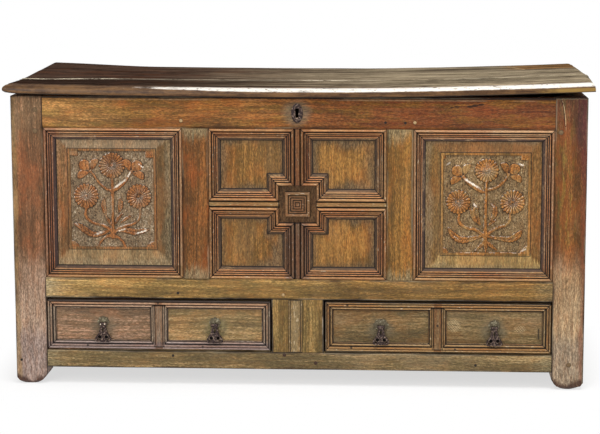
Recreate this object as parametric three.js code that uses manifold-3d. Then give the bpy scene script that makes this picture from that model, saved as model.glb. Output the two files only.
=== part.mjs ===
// A joined oak mule chest: a framed and panelled chest with a hinged two-board lid and two drawers below.
// Millimetres. X runs along the front, +Y points to the back, +Z is up.
// The origin lies on the floor, in the middle of the footprint.

import * as THREE from "three";
import { mergeVertices } from "three/addons/utils/BufferGeometryUtils.js";
import Module from "manifold-3d";

const wasm = await Module();
wasm.setup();

// Clearances
const JOINT_GAP = 0.3;
const CUT_OVERRUN = 1;

// Framed carcase
const FRAME_WIDTH = 1400;
const FRAME_DEPTH = 530;
const LEG_CLEARANCE = 43;
const BOTTOM_RAIL_HEIGHT = 43;
const DRAWER_OPENING_HEIGHT = 133;
const MIDDLE_RAIL_HEIGHT = 50;
const PANEL_OPENING_HEIGHT = 372;
const TOP_RAIL_HEIGHT = 78;
const POST_WIDTH = 77.5;
const POST_DEPTH = 60;
const FOOT_CHAMFER = 8;
const FRONT_RAIL_THICKNESS = 34;
const SIDE_RAIL_THICKNESS = 30;
const BACK_RAIL_THICKNESS = 30;
const MUNTIN_WIDTH = 64;
const CENTRE_OPENING_WIDTH = 435;
const DRAWER_MUNTIN_WIDTH = 128;
const EDGE_CHAMFER_WIDTH = 8;
const EDGE_CHAMFER_DEPTH = 3;

// Mortise and tenon joints
const TENON_LENGTH = 38;
const SIDE_TENON_LENGTH = 30;
const MUNTIN_TENON_LENGTH = 26;
const TENON_THICKNESS = 9;
const TENON_SETBACK = 13;
const TENON_WALL = 1;
const TENON_ROOT = 2;

// Panels in their grooves
const GROOVE_DEPTH = 9;
const PANEL_END_PLAY = 0.8;
const FRONT_GROOVE_SETBACK = 15;
const FRONT_PANEL_EDGE = 6;
const PANEL_FIELD_RISE = 5;
const PANEL_FIELD_SIDE_INSET = 62;
const PANEL_FIELD_TOP_INSET = 54;
const PANEL_FIELD_FOOT_INSET = 66;
const PANEL_BEVEL_MARGIN = 1;
const PLAIN_PANEL_THICKNESS = 8;
const PLAIN_GROOVE_SETBACK = 11;
const BACK_PANEL_THICKNESS = 10;
const FLOOR_THICKNESS = 12;
const FLOOR_RISE = 6;
const FLOOR_HOUSING_DEPTH = 3;

// Applied mouldings of the front panels
const MOULDING_WIDTH = 30;
const MOULDING_HEIGHT = 15;
const CROSS_GAP = 16;
const CROSS_FILLET_WIDTH = 11;
const CROSS_WEB_HEIGHT = 7;
const CROSS_FILLET_HEIGHT = 12;
const CROSS_NOTCH = 38;
const BOSS_WIDTH = 62;
const BOSS_HEIGHT = 15;

// Lid
const LID_THICKNESS = 25;
const LID_BOW = 7;
const LID_END_OVERHANG = 20;
const LID_FRONT_OVERHANG = 20;
const LID_FRONT_BOARD_DEPTH = 170;
const LID_EDGE_MOULDING = 18;

// Strap hinges
const STRAP_WIDTH = 34;
const STRAP_THICKNESS = 3;
const STRAP_FRONT_MARGIN = 80;
const HINGE_INSET = 250;
const KNUCKLE_RADIUS = 4.5;
const HINGE_PIN_RADIUS = 2;
const HINGE_BORE_PLAY = 0.4;
const KNUCKLE_STANDOFF = 1;
const HINGE_LEAF_THICKNESS = 3;
const HINGE_LEAF_HEIGHT = 60;

// Lock, its bolt and the staple under the lid
const KEYHOLE_DROP = 33;
const KEYHOLE_RADIUS = 5.2;
const KEYHOLE_SLOT_WIDTH = 7.4;
const KEYHOLE_SLOT_LENGTH = 18;
const ESCUTCHEON_WIDTH = 29;
const ESCUTCHEON_HEIGHT = 48;
const ESCUTCHEON_THICKNESS = 1.5;
const LOCK_CASE_WIDTH = 120;
const LOCK_CASE_HEIGHT = 74;
const LOCK_CASE_DEPTH = 22;
const LOCK_CASE_WALL = 2;
const LOCK_CASE_DROP = 5;
const BOLT_LENGTH = 62;
const BOLT_HEIGHT = 8;
const BOLT_THICKNESS = 4.5;
const BOLT_RISE = 12;
const BOLT_LEDGE_THICKNESS = 2;
const BOLT_TO_STAPLE_GAP = 6;
const STAPLE_OFFSET = 24;
const STAPLE_THICKNESS = 8;
const STAPLE_LEG = 2.5;
const STAPLE_EYE_WIDTH = 8;
const STAPLE_EYE_PLAY = 2;
const STAPLE_PLATE_THICKNESS = 2;
const STAPLE_PLATE_WIDTH = 36;
const STAPLE_PLATE_DEPTH = 28;
const STAPLE_SLOT_PLAY = 3;

// Drawers
const DRAWER_SIDE_CLEARANCE = 3;
const DRAWER_TOP_CLEARANCE = 5;
const DRAWER_FRONT_SETBACK = 5;
const DRAWER_FRONT_THICKNESS = 22;
const DRAWER_BACK_CLEARANCE = 25;
const DRAWER_SIDE_THICKNESS = 12;
const DRAWER_SIDE_HEIGHT = 108;
const DRAWER_SIDE_LAP = 12;
const DRAWER_BACK_THICKNESS = 12;
const DRAWER_BOTTOM_THICKNESS = 8;
const DRAWER_BOTTOM_RISE = 7;
const DRAWER_BOTTOM_GROOVE = 5;
const DRAWER_BORDER_WIDTH = 13;
const DRAWER_BORDER_HEIGHT = 6;
const DRAWER_BEAD_WIDTH = 9;
const DRAWER_BEAD_HEIGHT = 4;
const DRAWER_BORDER_LIFT = 5;
const DRAWER_STRIP_WIDTH = 28;
const DRAWER_STRIP_HEIGHT = 8;
const DRAWER_STRIP_OVERLAP = 7;

// Drop handles
const HANDLE_RISE = 67;
const HANDLE_PLATE_RADIUS = 13;
const HANDLE_PLATE_LIFT = 5;
const HANDLE_PLATE_THICKNESS = 2.5;
const HANDLE_PIN_STANDOFF = 6;
const HANDLE_PIN_RADIUS = 1.6;
const HANDLE_BORE_PLAY = 0.4;
const HANDLE_BARREL_RADIUS = 4;
const HANDLE_BARREL_LENGTH = 12;
const HANDLE_LUG_WIDTH = 2.5;
const HANDLE_LUG_HALF_HEIGHT = 3.5;
const HANDLE_LUG_PLAY = 0.5;
const DROP_THICKNESS = 5;
const DROP_LENGTH = 45;
const DROP_WIDTH = 40;
const DROP_EYE_RADIUS = 3.4;

// Drawer runners
const RUNNER_HEIGHT = 28;
const RUNNER_LIP = 8;
const RUNNER_GUIDE_WIDTH = 18;
const RUNNER_GUIDE_HEIGHT = 25;
const RUNNER_TENON_LENGTH = 10;
const RUNNER_TENON_SHOULDER = 6;

// Shares of a section: across its width, then up its height
const mouldingProfileShares = [
  [0, 0],
  [0, 0.78],
  [0.05, 0.92],
  [0.13, 1],
  [0.21, 0.93],
  [0.26, 0.78],
  [0.26, 0.64],
  [0.35, 0.64],
  [0.42, 0.48],
  [0.56, 0.36],
  [0.72, 0.32],
  [0.8, 0.42],
  [0.92, 0.36],
  [1, 0.2],
  [1, 0],
];
const borderProfileShares = [
  [0, 0],
  [0, 0.45],
  [0.18, 0.85],
  [0.42, 1],
  [0.68, 0.92],
  [0.86, 0.62],
  [1, 0.3],
  [1, 0],
];
const beadProfileShares = [
  [0, 0],
  [0, 0.35],
  [0.3, 0.5],
  [0.45, 0.95],
  [0.65, 1],
  [0.85, 0.7],
  [1, 0.2],
  [1, 0],
];
const bossProfileShares = [
  [1, 0],
  [1, 0.55],
  [0.95, 0.7],
  [0.79, 0.7],
  [0.74, 0.45],
  [0.67, 0.45],
  [0.67, 0.68],
  [0.54, 0.68],
  [0.54, 0.8],
  [0.4, 0.8],
  [0.4, 0.9],
  [0.26, 0.9],
  [0.26, 1],
];
const lidEdgeProfileShares = [
  [0, 0],
  [0, 0.28],
  [0.06, 0.5],
  [0.2, 0.7],
  [0.42, 0.84],
  [0.72, 0.9],
  [0.72, 0.96],
  [1, 1],
];
// Half of the outline of a drop, shares of its width and length, from its neck down to its tip
const dropOutlineShares = [
  [0.13, 0.02],
  [0.15, 0.3],
  [0.22, 0.48],
  [0.36, 0.62],
  [0.49, 0.76],
  [0.5, 0.88],
  [0.42, 0.97],
  [0.28, 1],
  [0.18, 0.95],
  [0.08, 1],
];
const DROP_EYE_ACROSS_SHARE = 0.3;
const DROP_EYE_DOWN_SHARE = 0.82;
const LID_BOW_STEPS = 12;
const ROUND_STEPS = 20;

// Levels and places worked out from the sizes above
const knuckleReach = KNUCKLE_STANDOFF + 2 * KNUCKLE_RADIUS;
const overallDepth = LID_FRONT_OVERHANG + FRAME_DEPTH + knuckleReach;
const frameHalf = FRAME_WIDTH / 2;
const frameFront = LID_FRONT_OVERHANG - overallDepth / 2;
const frameBack = frameFront + FRAME_DEPTH;
const bottomRailLow = LEG_CLEARANCE;
const drawerOpeningLow = bottomRailLow + BOTTOM_RAIL_HEIGHT;
const drawerOpeningHigh = drawerOpeningLow + DRAWER_OPENING_HEIGHT;
const panelOpeningLow = drawerOpeningHigh + MIDDLE_RAIL_HEIGHT;
const panelOpeningHigh = panelOpeningLow + PANEL_OPENING_HEIGHT;
const frameTop = panelOpeningHigh + TOP_RAIL_HEIGHT;
const postInner = frameHalf - POST_WIDTH;
const muntinInner = CENTRE_OPENING_WIDTH / 2;
const muntinOuter = muntinInner + MUNTIN_WIDTH;
const drawerMuntinHalf = DRAWER_MUNTIN_WIDTH / 2;
const frontPostBack = frameFront + POST_DEPTH;
const rearPostFront = frameBack - POST_DEPTH;
const frontRailBack = frameFront + FRONT_RAIL_THICKNESS;
const backRailFront = frameBack - BACK_RAIL_THICKNESS;
const frontPanelGroove = [
  frameFront + FRONT_GROOVE_SETBACK,
  frameFront + FRONT_GROOVE_SETBACK + FRONT_PANEL_EDGE + 2 * JOINT_GAP,
];
const panelFaceY = frontPanelGroove[0] + JOINT_GAP;
const panelBackY = panelFaceY + FRONT_PANEL_EDGE;
const panelReach = GROOVE_DEPTH - PANEL_END_PLAY;
// Tenons start clear of the panel grooves
const tenonShoulder = GROOVE_DEPTH + TENON_WALL;
const sideGroove = [
  frameHalf - PLAIN_GROOVE_SETBACK - PLAIN_PANEL_THICKNESS - 2 * JOINT_GAP,
  frameHalf - PLAIN_GROOVE_SETBACK,
];
const backGroove = [
  frameBack - PLAIN_GROOVE_SETBACK - BACK_PANEL_THICKNESS - 2 * JOINT_GAP,
  frameBack - PLAIN_GROOVE_SETBACK,
];
const floorLow = drawerOpeningHigh + FLOOR_RISE;
const frontTenonY = [frameFront + TENON_SETBACK, frameFront + TENON_SETBACK + TENON_THICKNESS];
const backTenonY = [frameBack - TENON_SETBACK - TENON_THICKNESS, frameBack - TENON_SETBACK];
const sideTenonX = [frameHalf - TENON_SETBACK - TENON_THICKNESS, frameHalf - TENON_SETBACK];

// Colours and finishes of the real surfaces
const finishes = {
  frameOak: new THREE.MeshStandardMaterial({ color: 0x7c5232, roughness: 0.62, metalness: 0 }),
  panelOak: new THREE.MeshStandardMaterial({ color: 0x8a6038, roughness: 0.6, metalness: 0 }),
  mouldingOak: new THREE.MeshStandardMaterial({ color: 0x84502c, roughness: 0.5, metalness: 0 }),
  lidOak: new THREE.MeshStandardMaterial({ color: 0x5a4432, roughness: 0.45, metalness: 0 }),
  insideOak: new THREE.MeshStandardMaterial({ color: 0x8f7350, roughness: 0.8, metalness: 0 }),
  iron: new THREE.MeshStandardMaterial({ color: 0x2e2a28, roughness: 0.55, metalness: 0.85 }),
};

const chest = new THREE.Group();

// Solids and cuts

function solid(geometry) {
  const bare = geometry.clone();
  bare.deleteAttribute("normal");
  bare.deleteAttribute("uv");
  const merged = mergeVertices(bare);
  return new wasm.Manifold(
    new wasm.Mesh({
      numProp: 3,
      vertProperties: new Float32Array(merged.attributes.position.array),
      triVerts: new Uint32Array(merged.index.array),
    }),
  );
}

function geometryOf(shape) {
  const mesh = shape.getMesh();
  const geometry = new THREE.BufferGeometry();
  geometry.setAttribute("position", new THREE.BufferAttribute(mesh.vertProperties, 3));
  geometry.setIndex(new THREE.BufferAttribute(mesh.triVerts, 1));
  geometry.computeVertexNormals();
  return geometry;
}

function addPart(name, shape, finish) {
  const mesh = new THREE.Mesh(geometryOf(shape), finish.clone());
  mesh.name = name;
  chest.add(mesh);
}

// A block between [low, high] pairs along x, y and z
function block(x, y, z) {
  const geometry = new THREE.BoxGeometry(x[1] - x[0], y[1] - y[0], z[1] - z[0]);
  geometry.translate((x[0] + x[1]) / 2, (y[0] + y[1]) / 2, (z[0] + z[1]) / 2);
  return solid(geometry);
}

function shapeOf(points) {
  return new THREE.Shape(points.map(([across, up]) => new THREE.Vector2(across, up)));
}

// Prisms of an outline, run along one axis between a low and a high end
function prism(outline, span, basis, start) {
  const geometry = new THREE.ExtrudeGeometry(outline, {
    depth: span[1] - span[0],
    bevelEnabled: false,
    curveSegments: ROUND_STEPS / 2,
  });
  geometry.applyMatrix4(basis);
  geometry.translate(start.x, start.y, start.z);
  return solid(geometry);
}

const alongX = new THREE.Vector3(1, 0, 0);
const alongY = new THREE.Vector3(0, 1, 0);
const alongZ = new THREE.Vector3(0, 0, 1);

// The outline is drawn in y and z
function prismX(outline, x) {
  const basis = new THREE.Matrix4().makeBasis(alongY, alongZ, alongX);
  return prism(outline, x, basis, new THREE.Vector3(x[0], 0, 0));
}

// The outline is drawn in x and z
function prismY(outline, y) {
  const basis = new THREE.Matrix4().makeBasis(alongX, alongZ, alongY.clone().negate());
  return prism(outline, y, basis, new THREE.Vector3(0, y[1], 0));
}

// The outline is drawn in x and y
function prismZ(outline, z) {
  return prism(outline, z, new THREE.Matrix4(), new THREE.Vector3(0, 0, z[0]));
}

// A round bar along x
function barX(radius, x, y, z) {
  const geometry = new THREE.CylinderGeometry(radius, radius, x[1] - x[0], ROUND_STEPS);
  geometry.rotateZ(Math.PI / 2);
  geometry.translate((x[0] + x[1]) / 2, y, z);
  return solid(geometry);
}

function grown(pair, by) {
  return [pair[0] - by, pair[1] + by];
}

// A pair of distances from the middle, placed on the left (-1) or right (+1) side
function onSide(side, pair) {
  return side > 0 ? [pair[0], pair[1]] : [-pair[1], -pair[0]];
}

function sideName(side) {
  return side > 0 ? "right" : "left";
}

// The hole that takes a tenon or another block, with the joint's clearance all round
function mortise(spans) {
  return block(grown(spans.x, JOINT_GAP), grown(spans.y, JOINT_GAP), grown(spans.z, JOINT_GAP));
}

function peg(spans) {
  return block(spans.x, spans.y, spans.z);
}

// Closed skins made of loops of points

function closedGeometry(points, triangles) {
  const corners = triangles.map((triangle) => triangle.map((index) => points[index]));
  const volume = corners.reduce((sum, [a, b, c]) => sum + a.dot(b.clone().cross(c)), 0);
  const outward = volume > 0 ? triangles : triangles.map(([a, b, c]) => [a, c, b]);
  const geometry = new THREE.BufferGeometry();
  geometry.setAttribute("position", new THREE.Float32BufferAttribute(points.flatMap((p) => p.toArray()), 3));
  geometry.setIndex(outward.flat());
  return geometry;
}

function quadsBetween(first, second, count) {
  const triangles = [];
  for (let i = 0; i < count; i += 1) {
    const next = (i + 1) % count;
    triangles.push([first + i, first + next, second + next], [first + i, second + next, second + i]);
  }
  return triangles;
}

// A stack of rectangles, each { across, up, at }, turned into points by one of the two ways below
function steppedBlock(levels, toPoint) {
  const points = [];
  const triangles = [];
  levels.forEach(({ across, up, at }, index) => {
    points.push(
      toPoint(across[0], up[0], at),
      toPoint(across[1], up[0], at),
      toPoint(across[1], up[1], at),
      toPoint(across[0], up[1], at),
    );
    if (index > 0) {
      triangles.push(...quadsBetween(4 * (index - 1), 4 * index, 4));
    }
  });
  const last = 4 * (levels.length - 1);
  triangles.push([0, 2, 1], [0, 3, 2]);
  triangles.push([last, last + 1, last + 2], [last, last + 2, last + 3]);
  return solid(closedGeometry(points, triangles));
}

// Layers seen from the front, or laid one over another from the floor up
const facingFront = (across, up, at) => new THREE.Vector3(across, at, up);
const standingUp = (across, up, at) => new THREE.Vector3(across, up, at);

// Corners of a right-angled outline moved inwards by a distance
function insetOutline(outline, distance) {
  return outline.map((corner, index) => {
    const before = outline[(index + outline.length - 1) % outline.length];
    const after = outline[(index + 1) % outline.length];
    const arriving = corner.clone().sub(before).normalize();
    const leaving = after.clone().sub(corner).normalize();
    const inward = new THREE.Vector2(-arriving.y - leaving.y, arriving.x + leaving.x);
    return corner.clone().addScaledVector(inward, distance);
  });
}

// A mitred moulding round a right-angled outline in x and z, standing forward of the plane baseY
function mitredFrame(corners, profileShares, width, height, baseY) {
  const outline = corners.map(([x, z]) => new THREE.Vector2(x, z));
  if (THREE.ShapeUtils.area(outline) < 0) {
    outline.reverse();
  }
  const points = [];
  const triangles = [];
  profileShares.forEach(([across, up], ring) => {
    insetOutline(outline, across * width).forEach((corner) => {
      points.push(new THREE.Vector3(corner.x, baseY - up * height, corner.y));
    });
    const nextRing = (ring + 1) % profileShares.length;
    triangles.push(...quadsBetween(ring * outline.length, nextRing * outline.length, outline.length));
  });
  return solid(closedGeometry(points, triangles));
}

function rectangle(x, z) {
  return [
    [x[0], z[0]],
    [x[1], z[0]],
    [x[1], z[1]],
    [x[0], z[1]],
  ];
}

// Chamfer cutters for the edges that face a panel; towards is +1 or -1 from the edge into the timber
function edgeChamferX(x, edgeZ, towards) {
  const outside = edgeZ - towards * CUT_OVERRUN;
  const inside = edgeZ + towards * EDGE_CHAMFER_WIDTH;
  return prismX(
    shapeOf([
      [frameFront, inside],
      [frameFront + EDGE_CHAMFER_DEPTH, edgeZ],
      [frameFront + EDGE_CHAMFER_DEPTH, outside],
      [frameFront - CUT_OVERRUN, outside],
      [frameFront - CUT_OVERRUN, inside],
    ]),
    x,
  );
}

function edgeChamferZ(z, edgeX, towards) {
  const outside = edgeX - towards * CUT_OVERRUN;
  const inside = edgeX + towards * EDGE_CHAMFER_WIDTH;
  return prismZ(
    shapeOf([
      [inside, frameFront],
      [edgeX, frameFront + EDGE_CHAMFER_DEPTH],
      [outside, frameFront + EDGE_CHAMFER_DEPTH],
      [outside, frameFront - CUT_OVERRUN],
      [inside, frameFront - CUT_OVERRUN],
    ]),
    z,
  );
}

// Tenon places, shared by the piece that carries the tenon and the piece that takes it.
// A tenon's root is sunk into the piece that carries it.

const railLevels = {
  top: [panelOpeningHigh, frameTop],
  middle: [drawerOpeningHigh, panelOpeningLow],
  bottom: [bottomRailLow, drawerOpeningLow],
};

function longRailTenon(side, y, level) {
  return {
    x: onSide(side, [postInner - TENON_ROOT, postInner + TENON_LENGTH]),
    y,
    z: grown(level, -tenonShoulder),
  };
}

function sideRailTenon(side, end, level) {
  const y =
    end === "front"
      ? [frontPostBack - SIDE_TENON_LENGTH, frontPostBack + TENON_ROOT]
      : [rearPostFront - TENON_ROOT, rearPostFront + SIDE_TENON_LENGTH];
  return { x: onSide(side, sideTenonX), y, z: grown(level, -tenonShoulder) };
}

function muntinTenon(x, z) {
  return { x: grown(x, -tenonShoulder), y: frontTenonY, z };
}

const uprightTenonZ = {
  panelTop: [panelOpeningHigh - TENON_ROOT, panelOpeningHigh + MUNTIN_TENON_LENGTH],
  panelFoot: [panelOpeningLow - MUNTIN_TENON_LENGTH, panelOpeningLow + TENON_ROOT],
  drawerTop: [drawerOpeningHigh - TENON_ROOT, drawerOpeningHigh + MUNTIN_TENON_LENGTH],
  drawerFoot: [drawerOpeningLow - MUNTIN_TENON_LENGTH, drawerOpeningLow + TENON_ROOT],
};
const muntinX = [muntinInner, muntinOuter];
const drawerMuntinX = [-drawerMuntinHalf, drawerMuntinHalf];

const runnerTenonZ = [
  drawerOpeningLow - RUNNER_HEIGHT + RUNNER_TENON_SHOULDER,
  drawerOpeningLow - tenonShoulder,
];
const runnerInner = postInner - DRAWER_SIDE_CLEARANCE - DRAWER_SIDE_THICKNESS - RUNNER_LIP;
const centreRunnerHalf = drawerMuntinHalf + DRAWER_SIDE_CLEARANCE + DRAWER_SIDE_THICKNESS + RUNNER_LIP;
const runnerTenonsX = [
  onSide(-1, [runnerInner, postInner]),
  [-centreRunnerHalf, centreRunnerHalf],
  onSide(1, [runnerInner, postInner]),
];

function runnerTenon(x, end) {
  const y =
    end === "front"
      ? [frontRailBack - RUNNER_TENON_LENGTH, frontRailBack + TENON_ROOT]
      : [backRailFront - TENON_ROOT, backRailFront + RUNNER_TENON_LENGTH];
  return { x: grown(x, -RUNNER_TENON_SHOULDER), y, z: runnerTenonZ };
}

// Corner posts, which run down past the rails as the feet

function postSpans(side, end) {
  return {
    x: onSide(side, [postInner, frameHalf]),
    y: end === "front" ? [frameFront, frontPostBack] : [rearPostFront, frameBack],
  };
}

function footedPost(spans) {
  const levels = [
    { across: grown(spans.x, -FOOT_CHAMFER), up: grown(spans.y, -FOOT_CHAMFER), at: 0 },
    { across: spans.x, up: spans.y, at: FOOT_CHAMFER },
    { across: spans.x, up: spans.y, at: frameTop },
  ];
  return steppedBlock(levels, standingUp);
}

function buildPost(side, end) {
  const spans = postSpans(side, end);
  const longTenonY = end === "front" ? frontTenonY : backTenonY;
  const panelGrooveY = end === "front" ? frontPanelGroove : backGroove;
  const panelGrooveZ = end === "front" ? [panelOpeningLow, panelOpeningHigh] : [drawerOpeningLow, panelOpeningHigh];
  let post = footedPost(spans);
  const longLevels =
    end === "front" ? [railLevels.top, railLevels.middle, railLevels.bottom] : [railLevels.top, railLevels.bottom];
  for (const level of longLevels) {
    post = post.subtract(mortise(longRailTenon(side, longTenonY, level)));
  }
  for (const level of [railLevels.top, railLevels.bottom]) {
    post = post.subtract(mortise(sideRailTenon(side, end, level)));
  }
  post = post.subtract(
    block(
      onSide(side, [postInner - CUT_OVERRUN, postInner + GROOVE_DEPTH]),
      panelGrooveY,
      grown(panelGrooveZ, GROOVE_DEPTH),
    ),
  );
  const sideGrooveY =
    end === "front"
      ? [frontPostBack - GROOVE_DEPTH, frontPostBack + CUT_OVERRUN]
      : [rearPostFront - CUT_OVERRUN, rearPostFront + GROOVE_DEPTH];
  post = post.subtract(
    block(onSide(side, sideGroove), sideGrooveY, grown([drawerOpeningLow, panelOpeningHigh], GROOVE_DEPTH)),
  );
  if (end === "front") {
    post = post.subtract(edgeChamferZ([panelOpeningLow, panelOpeningHigh], side * postInner, side));
  }
  addPart(`${end}_${sideName(side)}_post`, post, finishes.frameOak);
}

// Long rails of the front and the back

function longRail(y, level) {
  const inner = postInner - JOINT_GAP;
  const tenonY = y[0] < 0 ? frontTenonY : backTenonY;
  return block([-inner, inner], y, level)
    .add(peg(longRailTenon(-1, tenonY, level)))
    .add(peg(longRailTenon(1, tenonY, level)));
}

const longRun = [-postInner, postInner];
const frontRailY = [frameFront, frontRailBack];
const backRailY = [backRailFront, frameBack];

function frontGrooveCut(z) {
  return block(longRun, frontPanelGroove, z);
}

function buildFrontTopRail() {
  let rail = longRail(frontRailY, railLevels.top);
  rail = rail.subtract(frontGrooveCut([panelOpeningHigh - CUT_OVERRUN, panelOpeningHigh + GROOVE_DEPTH]));
  rail = rail.subtract(edgeChamferX(longRun, panelOpeningHigh, 1));
  for (const side of [-1, 1]) {
    rail = rail.subtract(mortise(muntinTenon(onSide(side, muntinX), uprightTenonZ.panelTop)));
  }
  rail = rail.subtract(keyholeCut([frameFront - CUT_OVERRUN, frontRailBack + CUT_OVERRUN]));
  addPart("front_top_rail", rail, finishes.frameOak);
}

function buildFrontMiddleRail() {
  let rail = longRail(frontRailY, railLevels.middle);
  rail = rail.subtract(frontGrooveCut([panelOpeningLow - GROOVE_DEPTH, panelOpeningLow + CUT_OVERRUN]));
  rail = rail.subtract(edgeChamferX(longRun, panelOpeningLow, -1));
  for (const side of [-1, 1]) {
    rail = rail.subtract(mortise(muntinTenon(onSide(side, muntinX), uprightTenonZ.panelFoot)));
  }
  rail = rail.subtract(mortise(muntinTenon(drawerMuntinX, uprightTenonZ.drawerTop)));
  rail = rail.subtract(
    block(
      longRun,
      [frontRailBack - GROOVE_DEPTH, frontRailBack + CUT_OVERRUN],
      [floorLow - JOINT_GAP, floorLow + FLOOR_THICKNESS + JOINT_GAP],
    ),
  );
  addPart("front_middle_rail", rail, finishes.frameOak);
}

function buildFrontBottomRail() {
  let rail = longRail(frontRailY, railLevels.bottom);
  rail = rail.subtract(mortise(muntinTenon(drawerMuntinX, uprightTenonZ.drawerFoot)));
  for (const x of runnerTenonsX) {
    rail = rail.subtract(mortise(runnerTenon(x, "front")));
  }
  addPart("front_bottom_rail", rail, finishes.frameOak);
}

function buildBackRails() {
  let top = longRail(backRailY, railLevels.top);
  top = top.subtract(block(longRun, backGroove, [panelOpeningHigh - CUT_OVERRUN, panelOpeningHigh + GROOVE_DEPTH]));
  for (const side of [-1, 1]) {
    top = top.subtract(
      block(
        grown(strapX(side), JOINT_GAP),
        grown(backRailY, CUT_OVERRUN),
        [strapLow(side) - JOINT_GAP, frameTop + CUT_OVERRUN],
      ),
    );
  }
  addPart("back_top_rail", top, finishes.frameOak);
  let bottom = longRail(backRailY, railLevels.bottom);
  bottom = bottom.subtract(
    block(longRun, backGroove, [drawerOpeningLow - GROOVE_DEPTH, drawerOpeningLow + CUT_OVERRUN]),
  );
  for (const x of runnerTenonsX) {
    bottom = bottom.subtract(mortise(runnerTenon(x, "back")));
  }
  addPart("back_bottom_rail", bottom, finishes.frameOak);
}

// Muntins between the front panels and between the drawers

function buildMuntins() {
  for (const side of [-1, 1]) {
    const x = onSide(side, muntinX);
    const z = grown([panelOpeningLow, panelOpeningHigh], -JOINT_GAP);
    let muntin = block(x, frontRailY, z)
      .add(peg(muntinTenon(x, uprightTenonZ.panelTop)))
      .add(peg(muntinTenon(x, uprightTenonZ.panelFoot)));
    const cutZ = grown(z, CUT_OVERRUN);
    muntin = muntin.subtract(block([x[0] - CUT_OVERRUN, x[0] + GROOVE_DEPTH], frontPanelGroove, cutZ));
    muntin = muntin.subtract(block([x[1] - GROOVE_DEPTH, x[1] + CUT_OVERRUN], frontPanelGroove, cutZ));
    muntin = muntin.subtract(edgeChamferZ(cutZ, x[0], 1));
    muntin = muntin.subtract(edgeChamferZ(cutZ, x[1], -1));
    addPart(`${sideName(side)}_muntin`, muntin, finishes.frameOak);
  }
  const drawerMuntin = block(drawerMuntinX, frontRailY, grown([drawerOpeningLow, drawerOpeningHigh], -JOINT_GAP))
    .add(peg(muntinTenon(drawerMuntinX, uprightTenonZ.drawerTop)))
    .add(peg(muntinTenon(drawerMuntinX, uprightTenonZ.drawerFoot)));
  addPart("drawer_muntin", drawerMuntin, finishes.frameOak);
}

// Side frames

function buildSideFrame(side) {
  const x = onSide(side, [frameHalf - SIDE_RAIL_THICKNESS, frameHalf]);
  const y = grown([frontPostBack, rearPostFront], -JOINT_GAP);
  const grooveX = onSide(side, sideGroove);
  const cuts = {
    top: [panelOpeningHigh - CUT_OVERRUN, panelOpeningHigh + GROOVE_DEPTH],
    bottom: [drawerOpeningLow - GROOVE_DEPTH, drawerOpeningLow + CUT_OVERRUN],
  };
  for (const name of ["top", "bottom"]) {
    const level = railLevels[name];
    const rail = block(x, y, level)
      .subtract(block(grooveX, y, cuts[name]))
      .add(peg(sideRailTenon(side, "front", level)))
      .add(peg(sideRailTenon(side, "back", level)));
    addPart(`${sideName(side)}_side_${name}_rail`, rail, finishes.frameOak);
  }
  const panel = block(
    grown(grooveX, -JOINT_GAP),
    grown([frontPostBack, rearPostFront], panelReach),
    grown([drawerOpeningLow, panelOpeningHigh], panelReach),
  );
  addPart(`${sideName(side)}_side_panel`, panel, finishes.panelOak);
}

// Panels of the front and the back

function buildCarvedPanel(side) {
  const openingX = onSide(side, [muntinOuter, postInner]);
  const openingZ = [panelOpeningLow, panelOpeningHigh];
  const foot = MOULDING_WIDTH + JOINT_GAP + PANEL_BEVEL_MARGIN;
  const whole = { across: grown(openingX, panelReach), up: grown(openingZ, panelReach) };
  const levels = [
    { ...whole, at: panelBackY },
    { ...whole, at: panelFaceY },
    { across: grown(openingX, -foot), up: grown(openingZ, -foot), at: panelFaceY },
    {
      across: grown(openingX, -PANEL_FIELD_SIDE_INSET),
      up: [openingZ[0] + PANEL_FIELD_FOOT_INSET, openingZ[1] - PANEL_FIELD_TOP_INSET],
      at: panelFaceY - PANEL_FIELD_RISE,
    },
  ];
  const panel = steppedBlock(levels, facingFront);
  addPart(`${sideName(side)}_carved_panel`, panel, finishes.panelOak);
  const frame = mitredFrame(
    rectangle(grown(openingX, -JOINT_GAP), grown(openingZ, -JOINT_GAP)),
    mouldingProfileShares,
    MOULDING_WIDTH,
    MOULDING_HEIGHT,
    panelFaceY - JOINT_GAP,
  );
  addPart(`${sideName(side)}_panel_moulding`, frame, finishes.mouldingOak);
}

function crossFrameCorners(side, up, middleZ) {
  const inner = CROSS_GAP / 2;
  const outerX = muntinInner - JOINT_GAP;
  const outerZ = PANEL_OPENING_HEIGHT / 2 - JOINT_GAP;
  const corners = [
    [inner + CROSS_NOTCH, inner],
    [outerX, inner],
    [outerX, outerZ],
    [inner, outerZ],
    [inner, inner + CROSS_NOTCH],
    [inner + CROSS_NOTCH, inner + CROSS_NOTCH],
  ];
  return corners.map(([x, z]) => [side * x, middleZ + up * z]);
}

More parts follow.
